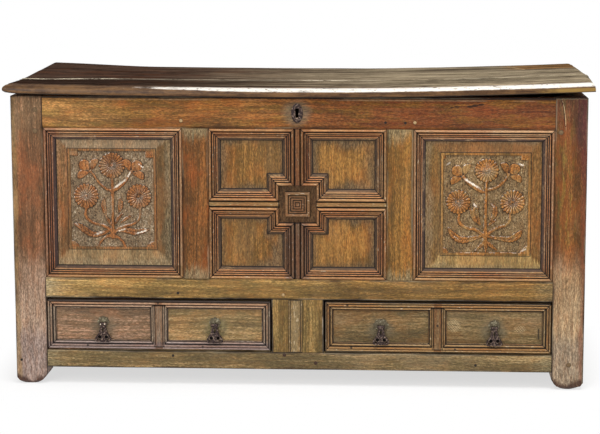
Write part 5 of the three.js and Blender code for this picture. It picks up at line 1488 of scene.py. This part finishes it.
def drawer_stains(side):
    """Grey halos where the drops have rubbed a drawer front, and the marks that each front has."""
    spots = [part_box(f"{side}_drawer_{hand}_plate") for hand in SIDES]

    def tint(finish, colour, look):
        x, _, z = finish.parts(finish.place())
        for low, high in spots:
            across = (x - (low.x + high.x) / 2) / 1.1
            up = z - (low.z + high.z) / 2 + 0.012
            away = (across * across + up * up) ** 0.5 + (look.blotches - 0.5) * 0.03
            colour = colour.mix(tone(108, 98, 76), away.ramp(0.040, 0.014) * 0.8)
        if side == "right":
            for mark_x, mark_z, wide, tall in SCRATCHED:
                inside = (((x - mark_x) / wide) ** 2 + ((z - mark_z) / tall) ** 2) ** 0.5
                inside = inside + (look.blotches - 0.5) * 1.2
                for lean in (0.8, -1.1):
                    wave = finish.math("FRACT", (x + z * lean + (look.stains - 0.5) * 0.01) / SCRATCH_GAP)
                    line = (wave - 0.5).size().ramp(0.20, 0.10)
                    colour = colour.mix(tone(176, 158, 122), line * inside.ramp(1.0, 0.5) * 0.6)
            slit = (x - SLIT_X + (look.blotches - 0.5) * 0.006).size().ramp(0.0026, 0.0014)
            low, high = SLIT_ENDS
            slit = slit * z.ramp(low, low + 3 * MM) * z.ramp(high, high - 3 * MM)
            colour = colour.mix(SOOT_AND_SHADE, slit * 0.8)
        if side == "left":
            colour = colour.stain(towards((135, 109, 88), (125, 104, 81)), x.ramp(-0.33, -0.36))
            colour = colour.stain(towards((142, 118, 82), (128, 104, 80)), x.ramp(-0.36, -0.33))
        return colour
    return tint


for index, side in enumerate(SIDES):
    name = side + "_drawer"
    material = oak(name + "_front_oak", seed=21.3 + index, box=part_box(name + "_front"),
                   tint=drawer_stains(side), rough=0.45, **DRAWER_FIELD[side])
    timber(name + "_front", name, "oak_drawer_front", material, 0, wear=0.6)
    for part, grain in (("left_side", "Y"), ("right_side", "Y"), ("back", "X"), ("bottom", "X")):
        material = oak(f"{name}_{part}_oak", grain=grain, seed=25.1 + index * 3 + len(part), rough=0.7, **RAW)
        timber(f"{name}_{part}", name, "raw_oak", material, AXES[grain], edge=0.6, wear=0.3)

    low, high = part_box(name + "_moulding")
    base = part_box(name + "_front")[0].y - DRAWER_BACKING
    middle = (low.x + high.x) / 2
    inner_x = (low.x + BORDER_WIDTH, high.x - BORDER_WIDTH)
    inner_z = (low.z + BORDER_WIDTH, high.z - BORDER_WIDTH)
    lengths = moulded_frame(rectangle(low.x, high.x, low.z, high.z), BORDER_PROFILE, base, 31 + index)
    for field_x in ((inner_x[0], middle - STRIP_WIDTH / 2), (middle + STRIP_WIDTH / 2, inner_x[1])):
        lengths += moulded_frame(rectangle(*field_x, *inner_z), BEAD_PROFILE, base, 33 + field_x[0] * 4)
    ends = (inner_z[0] - STRIP_OVERLAP, inner_z[1])
    lengths.append(planted_strip("strip", middle, ends, STRIP_ROWS, base, "Z", 35 + index))
    moulded_piece(lengths, name + "_mitred_moulding", name, DRAWER_MOULDING[side], name + "_moulding",
                  wear=0.4)


MUNTIN_ROWS = [(-17, 0.4, 1.0), (-16.2, 0.6, 1.0), (-15.7, 2.2, 0.3), (-13.2, 2.5, 0.1), (-12.7, 0.7, 1.0),
               (-11.7, 0.7, 1.0), (-11.3, 2.3, 0.2), (-4, 2.8, 0.0), (4, 2.8, 0.0), (11.3, 2.3, 0.2),
               (11.8, 0.8, 1.0), (12.8, 0.8, 1.0), (13.3, 2.2, 0.3), (16, 2.0, 0.2), (16.6, 0.4, 1.0),
               (17, 0.2, 1.0)]
MUNTIN_STRIP_X = -5.7 * MM
MUNTIN_STRIP_ENDS = (87 * MM, 218 * MM)
muntin_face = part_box("front_middle_rail")[0].y
strip = planted_strip("strip", MUNTIN_STRIP_X, MUNTIN_STRIP_ENDS, MUNTIN_ROWS, muntin_face, "Z", 41)
moulded_piece([strip], "drawer_muntin_reeded_strip", "carcase", MUNTIN_MOULDING, wear=0.3)


# Lid

LID_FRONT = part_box("lid_front_board")[0].y
LID_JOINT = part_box("lid_front_board")[1].y
LID_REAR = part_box("lid_rear_board")[1].y
LID_BOW = 7 * MM
LID_CURL = 10.0
LID_STEP = 2.2
LID_NARROWING = 0.007


def lid_oak(name, seed):
    """Dry oak, nearly black at the left and pale towards the right, partly bleached and partly a painted
    sheen; its front edge rubbed and waxed, with a painted highlight along it and a painted shadow at its
    foot.
    """
    finish = Finish(bpy.data.materials.new(name))
    look = figure(finish, grain_place(finish, "X", seed))
    x, y, z = finish.parts(finish.place())
    up = finish.attribute("up")
    place = finish.join(x + seed, y, z)
    bands = finish.noise(place, (0.42, 0.045, 0.045), detail=4.0, rough=0.65)
    lines = finish.noise(place, (0.26, 0.013, 0.013), detail=5.0, rough=0.75)
    fibres = finish.noise(place, (0.07, 0.0030, 0.0030), detail=3.0, rough=0.7)
    dashes = finish.noise(place, (0.050, 0.016, 0.016), detail=5.0, rough=0.8)
    grain = bands.ramp(0.42, 0.58) * 0.28 + lines.ramp(0.42, 0.58) * 0.32 + dashes.ramp(0.42, 0.58) * 0.26
    grain = grain + fibres.ramp(0.35, 0.65) * 0.14
    along = x + (bands - 0.5) * 0.7 + (lines - 0.5) * 0.8 + (look.stains - 0.5) * 0.3
    dark = finish.mix(tone(24, 16, 14), tone(102, 79, 66), grain)
    dark = finish.mix(dark, tone(98, 60, 40), look.blotches.ramp(0.50, 0.62) * 0.35)
    pale = finish.mix(tone(34, 25, 20), tone(184, 166, 136), grain)
    # Paler towards the right: bleached wood, and partly a painted sheen
    colour = finish.mix(dark, pale, along.ramp(-0.42, 0.38))
    front_left = y.ramp(LID_JOINT + 0.001, LID_JOINT - 0.001) * (x + (bands - 0.5) * 0.4).ramp(0.10, -0.15)
    colour = colour.shade(1 - front_left * 0.42)
    streak = (y - 0.185 + (lines - 0.5) * 0.16).size().ramp(0.050, 0.010) * x.ramp(0.54, 0.44)
    streak = streak * (x + (dashes - 0.5) * 0.3).ramp(0.24, 0.36)
    colour = colour.mix(tone(50, 36, 30), streak * lines.ramp(0.34, 0.50) * 0.8)
    brown = (x + (lines - 0.5) * 0.25).ramp(0.50, 0.58) * (y + (bands - 0.5) * 0.12).ramp(0.08, 0.14)
    colour = colour.stain(towards((116, 82, 50), (128, 112, 92)), brown * 0.9)
    slant = (x - 0.555) * 0.95 + (y - 0.17) * 0.31 + (look.blotches - 0.5) * 0.01
    crack = slant.size() + y.ramp(0.11, 0.09) + y.ramp(0.23, 0.25)
    colour = colour.mix(tone(206, 184, 140), crack.ramp(0.0028, 0.0010) * 0.65)
    lined = x.ramp(-0.42, -0.50).most(x.ramp(0.16, 0.08) * x.ramp(-0.02, 0.02))
    lined = lined.most(look.stains.ramp(0.44, 0.54) * 0.35)
    behind = y - LID_JOINT
    arris = behind.ramp(0.0048, 0.0026) * behind.ramp(-0.0001, 0.0)
    colour = colour.mix(tone(212, 198, 172), arris * lined * dashes.ramp(0.34, 0.54) * 0.85)
    joint = behind.ramp(-0.0022, -0.0004) * behind.ramp(0.0001, 0.0)
    colour = colour.mix(SOOT_AND_SHADE, joint * 0.9)
    nose = (y + (look.blotches - 0.5) * 0.006).ramp(LID_FRONT + 0.017, LID_FRONT + 0.009)
    rubbed = finish.mix(tone(52, 33, 21), tone(118, 86, 54),
                        look.streaks * 0.5 + dashes.ramp(0.38, 0.6) * 0.5)
    colour = colour.mix(rubbed, nose)
    golden = nose * (x + (dashes - 0.5) * 0.2).ramp(0.54, 0.64) * up.ramp(0.012, 0.008)
    colour = colour.mix(tone(156, 124, 64), golden * 0.7)
    # Painted highlight: a broken white band along the upper part of the nose
    start = (x + (look.stains - 0.5) * 0.4 + (dashes - 0.5) * 0.3).ramp(-0.38, -0.26)
    low = up + (dashes - 0.5) * 0.004 - x.ramp(-0.08, -0.40) * 0.005
    highlight_band = low.ramp(0.0122, 0.0146) * up.ramp(0.0235, 0.0205) * start
    chips = finish.noise(place, (0.011, 0.005, 0.0022), detail=2.0, rough=0.6)
    highlight_band = highlight_band * (dashes * 0.6 + look.streaks * 0.4).ramp(0.18, 0.36) * chips.ramp(0.31, 0.40)
    colour = colour.mix(tone(226, 220, 210), highlight_band * nose * 0.94)
    # Painted shadow: a near-black line along the foot of the nose
    nose_shadow = (up + (look.blotches - 0.5) * 0.002).ramp(0.0022, 0.0012)
    nose_shadow = nose_shadow * y.ramp(LID_FRONT + 0.010, LID_FRONT + 0.006)
    inner = finish.mix(tone(88, 64, 42), tone(150, 118, 82), grain)
    inner = inner.mix(tone(120, 82, 50), look.blotches.ramp(0.48, 0.60) * 0.5)
    colour = colour.mix(inner, up.ramp(0.0022, 0.0006) * (1 - nose * 0.7))
    colour = colour.mix(SOOT_AND_SHADE, nose_shadow * 0.9)
    height = look.specks * 0.6 - look.pores * 0.6 + look.blotches + lines * 1.4 + fibres * 0.8
    sheen = look.specks * 0.20 + 0.62 - nose * 0.25
    return finish.surface(colour, sheen, height * (1 - nose * 0.7), relief=0.0010, specular=0.0,
                          wax=nose * 0.4)


def lid_warp(x, y, share):
    """How far a place has risen from the CAD boards, in mm: the ends are warped, and the right one curls
    up. Share is 0 at the underside and 1 at the top."""
    across = (LID_FRONT, LID_JOINT, LID_REAR)
    left = smooth(-0.40, -0.72, x) * np.interp(y, across, (0, -5, 7))
    right = smooth(0.40, 0.72, x) * np.interp(y, across, (0, 3, -1))
    curl = LID_CURL * np.clip((x - 0.15) / 0.57, 0, 1) ** 1.4
    worn = 7 * smooth(-0.690, -0.722, x) * smooth(LID_FRONT + 0.030, LID_FRONT + 0.004, y)
    return share * (left + right + curl) + (1 - share) * (curl * np.interp(y, across, (1, 0.4, 0)) + worn)


def lid_board(node, seed):
    """One board of the lid, warped, and narrowed towards the front. It keeps how high each place was."""
    piece = copied_node(node, node + "_timber", flat=0.03)
    eased(piece, 1.1)
    sawn(piece, 0, 0.020)
    sawn(piece, 1, 0.030)
    low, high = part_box(node)
    places = vertices(piece)
    rise = places[:, 2] - low.z - places[:, 0] ** 2 * (LID_BOW / high.x ** 2)
    marked(piece, "up", rise)
    share = np.clip((rise - 4 * MM) / (15 * MM), 0, 1)
    waves = cloud_at(places * (0.3, 1, 1), 50 * MM)
    step = LID_STEP * smooth(LID_JOINT + 0.030, LID_JOINT, places[:, 1]) * (node == "lid_rear_board")
    places[:, 2] += MM * (lid_warp(places[:, 0], places[:, 1], share) + share * (0.7 * waves + step))
    places[:, 0] *= 1 - LID_NARROWING * smooth(LID_JOINT, LID_FRONT, places[:, 1])
    reshaped(piece, places)
    return finished(piece, "lid", "oak_lid", lid_oak(node + "_oak", seed), node)


for index, node in enumerate(("lid_front_board", "lid_rear_board")):
    lid_board(node, 51.0 + 2.7 * index)


# Metal: handles, keyhole plate, hinges and lock

def worked_metal(name, dark, bright, rust, gloss=0.42, polish=0.5):
    """Old metal: dark, rubbed bright in patches by polish, the bright patches partly a painted highlight,
    with specks of grime or rust.
    """
    finish = Finish(bpy.data.materials.new(name))
    place = finish.place()
    patches = finish.noise(place, 0.0045, detail=3.0, rough=0.7)
    fine = finish.noise(place, 0.0016, detail=2.0)
    # Bright patches: rubbed metal, and partly a painted highlight
    colour = finish.mix(dark, bright, patches.ramp(0.50, 0.68) * polish)
    colour = colour.mix(rust, fine.ramp(0.56, 0.72) * 0.7)
    rough = patches.ramp(0.68, 0.45) * 0.22 + gloss - 0.1
    return finish.surface(colour, rough, patches + fine * 0.3, relief=0.0006, specular=0.5,
                          metallic=patches.ramp(0.35, 0.6) * 0.4 + 0.5)


BRASS = worked_metal("aged_brass_worked", tone(42, 30, 29), tone(160, 138, 122), tone(96, 70, 62),
                     gloss=0.34, polish=0.9)
RIMS = worked_metal("aged_brass_rims", tone(80, 64, 58), tone(186, 168, 146), tone(104, 78, 64), gloss=0.34,
                    polish=0.9)
PATINA = worked_metal("aged_brass_patina", tone(88, 78, 60), tone(172, 164, 138), tone(110, 104, 82),
                      gloss=0.46, polish=0.9)
# Rubbed brass painted nearly white as a highlight, for the knobs of one handle
PAINTED_HIGHLIGHT_BRASS = worked_metal("aged_brass_rubbed", tone(170, 156, 132), tone(240, 232, 214), tone(130, 110, 84),
                      gloss=0.28, polish=1.0)
# Painted shade: near-black, for the discs behind the drops' eyes
PAINTED_SHADE_BRASS = worked_metal("aged_brass_shadow", tone(14, 10, 9), tone(34, 26, 22), tone(22, 15, 12), gloss=0.7,
                    polish=0.3)
IRON = worked_metal("dark_iron_worked", tone(42, 38, 36), tone(84, 78, 74), tone(78, 48, 32), gloss=0.55,
                    polish=0.3)


def metal_piece(node, body, slot, material, edge=0.7, wear=0.6):
    """A piece of metal with the shape of its CAD node, its edges rounded and its faces a little uneven."""
    piece = copied_node(node, node + "_worked")
    eased(piece, edge)
    weathered(piece, wear, HAND_MARKS)
    return finished(piece, body, slot, material, node)


def rosette(name, centre, wide, tall, lobes):
    """A thin lobed plate behind a handle."""
    bpy.ops.mesh.primitive_cylinder_add(vertices=lobes * 8, radius=1, depth=2.2 * MM, location=centre,
                                        rotation=TO_FRONT)
    piece = named(name)
    with editing(piece):
        picked(piece, lambda place, normal: normal.y < -0.9)
        bpy.ops.mesh.inset(thickness=0.35, depth=0)
        bpy.ops.mesh.inset(thickness=0.25, depth=0)
        bpy.ops.transform.translate(value=(0, -0.8 * MM, 0))
    places = vertices(piece)
    across, up = places[:, 0] - centre[0], places[:, 2] - centre[2]
    reach = 0.84 + 0.16 * np.abs(np.cos(np.arctan2(up, across) * lobes / 2))
    places[:, 0] = centre[0] + across * wide * reach
    places[:, 2] = centre[2] + up * tall * reach
    reshaped(piece, places)
    return piece


def cut_by(piece, cutter):
    """Cuts a piece by another, which is used up."""
    modified(piece, "BOOLEAN", object=cutter, operation="DIFFERENCE", solver="EXACT")
    bpy.data.objects.remove(cutter)


# How much wider than its node a drop is at some heights in mm
NECK_SPREAD = ((0, 1), (14, 1), (24, 1.22), (32, 1.45), (38, 1.25), (42, 1), (60, 1))
EYE_ACROSS, EYE_UP = 8.4, 13.5
# The holes through a drop: across and up from its foot, radius in mm, and how many times as tall as wide
DROP_HOLES = ((-EYE_ACROSS, EYE_UP, 4.2, 1), (EYE_ACROSS, EYE_UP, 4.2, 1), (0, 31.5, 2.3, 2.6))


def pierced_drop(name):
    """A drop with two eyes backed by dark discs of painted shade, a slit in its neck, worn rims and bright
    knobs, on one handle a painted highlight.
    """
    low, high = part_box(name + "_drop")
    middle = (low.x + high.x) / 2
    piece = copied_node(name + "_drop", name + "_drop_cast")
    sawn(piece, 2, 0.004)
    places = vertices(piece)
    places[:, 0] = middle + (places[:, 0] - middle) * read_off(NECK_SPREAD, (places[:, 2] - low.z) / MM)
    reshaped(piece, places)
    for across, up, radius, tall in DROP_HOLES:
        bpy.ops.mesh.primitive_cylinder_add(vertices=16, radius=radius * MM, depth=20 * MM, rotation=TO_FRONT,
                                            location=(middle + across * MM, low.y, low.z + up * MM))
        cut_by(piece, named("cutter", (1, tall, 1)))
    eased(piece, 0.7)
    weathered(piece, 0.5, HAND_MARKS)
    finished(piece, name + "_drop", "aged_brass", BRASS, name + "_drop")
    rims, knobs, eyes = [], [], []
    for across in (-EYE_ACROSS, EYE_ACROSS):
        eye_x, eye_z = middle + across * MM, low.z + EYE_UP * MM
        bpy.ops.mesh.primitive_torus_add(major_segments=20, minor_segments=6, major_radius=5.4 * MM,
                                         minor_radius=0.8 * MM, rotation=TO_FRONT,
                                         location=(eye_x, low.y + 1.7 * MM, eye_z))
        rims.append(named("rim"))
        # Painted shade: a dark disc behind each eye
        bpy.ops.mesh.primitive_cylinder_add(vertices=16, radius=4.4 * MM, depth=1.0 * MM, rotation=TO_FRONT,
                                            location=(eye_x, high.y - 2.2 * MM, eye_z))
        eyes.append(named("eye"))
        bpy.ops.mesh.primitive_uv_sphere_add(segments=12, ring_count=8, radius=1.9 * MM,
                                             location=(middle + across * 0.6 * MM, low.y - 0.2 * MM,
                                                       high.z - 3.4 * MM))
        knobs.append(named("knob"))
    # The knobs of one handle are painted with a highlight
    rubbed = PAINTED_HIGHLIGHT_BRASS if name == "left_drawer_left" else RIMS
    for kind, group, material in (("rims", rims, RIMS), ("eyes", eyes, PAINTED_SHADE_BRASS), ("knobs", knobs, rubbed)):
        finished(joined(group, f"{name}_drop_{kind}"), name + "_drop", "aged_brass", material)


# The one handle whose rosette is wide
WIDE_ROSETTE = "right_drawer_left"
for side in SIDES:
    for hand in SIDES:
        name = f"{side}_drawer_{hand}"
        low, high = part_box(name + "_plate")
        metal_piece(name + "_plate", side + "_drawer", "aged_brass", BRASS)
        pierced_drop(name)
        centre = ((low.x + high.x) / 2, high.y - 1.9 * MM, (low.z + high.z) / 2)
        wide, lobes = (19, 6) if name == WIDE_ROSETTE else (14.5, 8)
        plate = rosette(name + "_rosette", centre, wide * MM, 14 * MM, lobes)
        finished(plate, side + "_drawer", "aged_brass", PATINA)

metal_piece("keyhole_escutcheon", "carcase", "aged_brass", BRASS, edge=0.4, wear=0.8)
for node, body in (("left_hinge_leaf", "carcase"), ("right_hinge_leaf", "carcase"),
                   ("left_hinge_strap", "lid"),
                   ("right_hinge_strap", "lid"), ("lock_case", "carcase"), ("lock_bolt", "lock_bolt"),
                   ("lock_staple", "lid")):
    metal_piece(node, body, "dark_iron", IRON, edge=0.4, wear=0.3)


# Pegs, holes and nails

# Along and up in mm, and the kind
PEG_PLACES = [(-641, 633, 3), (-640, 685, 3), (-282.5, 660, 2), (214, 658, 1), (262, 657, 1), (285, 658, 2),
              (636, 636, 3), (664, 62.5, 3), (-688, 60, 1), (-309, 75, 1), (-295, 233, 1), (-35.5, 231, 2),
              (44, 60, 0), (-33, 79.5, 0), (437, 59, 1)]


def peg_finish():
    """End grain of pegs, dark or pale as each piece says, with soot and painted shade round it and in nail
    holes.
    """
    finish = Finish(bpy.data.materials.new("peg_oak"))
    pale = finish.attribute("pale")
    specks = finish.noise(finish.place(), 0.0015, detail=2.0)
    wood = finish.mix(tone(60, 38, 24), tone(178, 148, 104), pale.ramp(0.2, 1.0))
    colour = finish.mix(wood, UMBER, specks.ramp(0.45, 0.65) * 0.5)
    colour = colour.mix(SOOT_AND_SHADE, finish.attribute("dirt").ramp(0.5, 0.9))
    return finish.surface(colour, specks * 0.2 + 0.5, specks, relief=0.0004)


# For each kind, a dark peg, a nail hole, a pale peg and a broad peg: its radius in mm and how pale it is
PEG_RADII = (4.4, 3.2, 4.4, 6.0)
PEG_SHADES = (0.0, 0.0, 1.0, 0.5)
DARK_PEG, NAIL_HOLE = 0, 1


def peg(place, turn, kind):
    """A peg or a nail hole in a face that looks to the front, turned round the upright axis."""
    radius = PEG_RADII[kind] * MM
    outward = Vector((math.sin(turn), -math.cos(turn), 0))
    middle = Vector(place) - outward * 0.5 * MM
    bpy.ops.mesh.primitive_cylinder_add(vertices=14, radius=radius, depth=2 * MM, location=middle,
                                        rotation=(math.pi / 2, place[0] * 9, turn))
    piece = named("peg")
    with editing(piece):
        picked(piece, lambda spot, normal: normal.dot(outward) > 0.9)
        bpy.ops.mesh.inset(thickness=1.0 * MM, depth=(-0.3 if kind == NAIL_HOLE else 0.6) * MM)
    offset = vertices(piece) - np.array(middle)
    offset -= np.outer(offset @ np.array(outward), np.array(outward))
    away = np.linalg.norm(offset, axis=1)
    marked(piece, "dirt", np.where(away > 0.9 * radius, 1.0, 1.0 if kind == NAIL_HOLE else 0.2))
    marked(piece, "pale", np.full(len(away), PEG_SHADES[kind]))
    return piece


PEG_IN = 15 * MM
BACK_PEG_IN = 19 * MM
BACK_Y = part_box("rear_left_post")[1].y
pegs = [peg((x * MM, FRONT_Y, z * MM), 0, kind) for x, z, kind in PEG_PLACES]
for level in ("top", "bottom"):
    for share in (0.28, 0.72):
        for side, sign in SIDES.items():
            low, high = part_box(f"{side}_side_{level}_rail")
            z = low.z + (high.z - low.z) * share
            face = high.x if sign > 0 else low.x
            pegs += [peg((face, y, z), sign * math.pi / 2, DARK_PEG)
                     for y in (low.y + PEG_IN, high.y - PEG_IN)]
            low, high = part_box(f"back_{level}_rail")
            z = low.z + (high.z - low.z) * share
            pegs.append(peg((sign * (high.x - BACK_PEG_IN), BACK_Y, z), math.pi, DARK_PEG))
finished(joined(pegs, "pegs"), "carcase", "oak_frame", peg_finish())


def nail_heads(name, body, places, outward):
    """Hand-made nails with low domed heads."""
    heads = []
    flat = Vector([0.4 if part else 1 for part in outward])
    for place in places:
        bpy.ops.mesh.primitive_uv_sphere_add(segments=8, ring_count=6, radius=3.6 * MM, location=place)
        heads.append(named("head", flat))
    return finished(joined(heads, name), body, "dark_iron", IRON)


# Nails of a strap, across and along it, and of a leaf, across and up, in mm
STRAP_NAILS = ((0, 14), (-8, 100), (8, 130), (0, 215), (-8, 300), (8, 330), (0, 390))
LEAF_NAILS = ((-9, 10), (9, 22), (-9, 36), (9, 48))
IRON_DEPTH = 3 * MM
for side in SIDES:
    low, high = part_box(side + "_hinge_strap")
    middle, under = (low.x + high.x) / 2, high.z - IRON_DEPTH
    places = [(middle + across * MM, low.y + along * MM, under) for across, along in STRAP_NAILS]
    nail_heads(side + "_strap_nails", "lid", places, (0, 0, 1))
    low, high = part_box(side + "_hinge_leaf")
    places = [(middle + across * MM, low.y + IRON_DEPTH, low.z + up * MM) for across, up in LEAF_NAILS]
    nail_heads(side + "_leaf_nails", "carcase", places, (0, 1, 0))
low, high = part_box("lock_case")
places = [(across, high.y, up) for across in (low.x + 7 * MM, high.x - 7 * MM)
          for up in (low.z + 7 * MM, low.z + 50 * MM)]
nail_heads("lock_nails", "carcase", places, (0, 1, 0))


# Stage

# Name, place, aim, width and depth in metres, and power in watts
LAMPS = [("top_softbox", (0.45, -1.3, 2.6), (0, -0.25, 0.4), 2.0, 1.2, 52),
         ("front_softbox", (-1.6, -3.6, 1.9), (0, -0.2, 0.35), 2.2, 2.2, 46),
         ("right_softbox", (2.6, -2.4, 1.8), (0, -0.2, 0.35), 1.6, 1.6, 12)]
FLOOR_SIZE = 24
FLOOR_DROP = 0.5 * MM
# Half the length and depth of what the shadow spreads from
FOOTPRINT = (0.66, 0.24)
FLOOR_SHADOW = 0.36
SHADOW_REACH = 0.16
AMBIENT = 0.40


def seen_rays(finish):
    """1 for rays from the camera, from glossy faces and through clear ones, and 0 for all others."""
    path = finish.add("ShaderNodeLightPath", output=None)
    return path["Is Camera Ray"].most(path["Is Glossy Ray"]).most(path["Is Transmission Ray"])


def floor_look():
    """A floor that is plain white to the camera, save for some of the shadow near the chest."""
    finish = Finish(bpy.data.materials.new("pale_floor"))
    seen = seen_rays(finish)
    x, y, _ = finish.parts(finish.place())
    away = (x.size() - FOOTPRINT[0]).most(y.size() - FOOTPRINT[1])
    shadow = away.ramp(SHADOW_REACH, 0.0) * FLOOR_SHADOW
    finish.feed(finish.shader.inputs["Base Color"], finish.mix(tone(236, 234, 230), WHITE, seen))
    finish.feed(finish.shader.inputs["Roughness"], 0.9)
    glow = finish.add("ShaderNodeEmission", None, {"Color": WHITE, "Strength": 1.0})
    lit = Term(finish, finish.shader.outputs[0])
    both = finish.add("ShaderNodeMixShader", None, {0: seen * (1 - shadow), 1: lit, 2: glow})
    finish.feed(finish.tree.nodes["Material Output"].inputs["Surface"], both)
    return finish.owner


bpy.ops.mesh.primitive_grid_add(x_subdivisions=8, y_subdivisions=8, size=FLOOR_SIZE,
                                location=(0, 0, -FLOOR_DROP))
floor = named("floor")
floor.data.materials.append(floor_look())

world = bpy.data.worlds.new("studio")
bpy.context.scene.world = world
sky = Finish(world, "Background")
sky.feed(sky.shader.inputs["Color"], WHITE)
sky.feed(sky.shader.inputs["Strength"], seen_rays(sky) * (1 - AMBIENT) + AMBIENT)

for name, place, aim, width, depth, power in LAMPS:
    bpy.ops.object.light_add(type="AREA", location=place)
    lamp = bpy.context.object
    lamp.name = name
    lamp.data.shape = "RECTANGLE"
    lamp.data.size, lamp.data.size_y = width, depth
    lamp.data.energy = power
    lamp.rotation_euler = (Vector(aim) - Vector(place)).to_track_quat("-Z", "Y").to_euler()
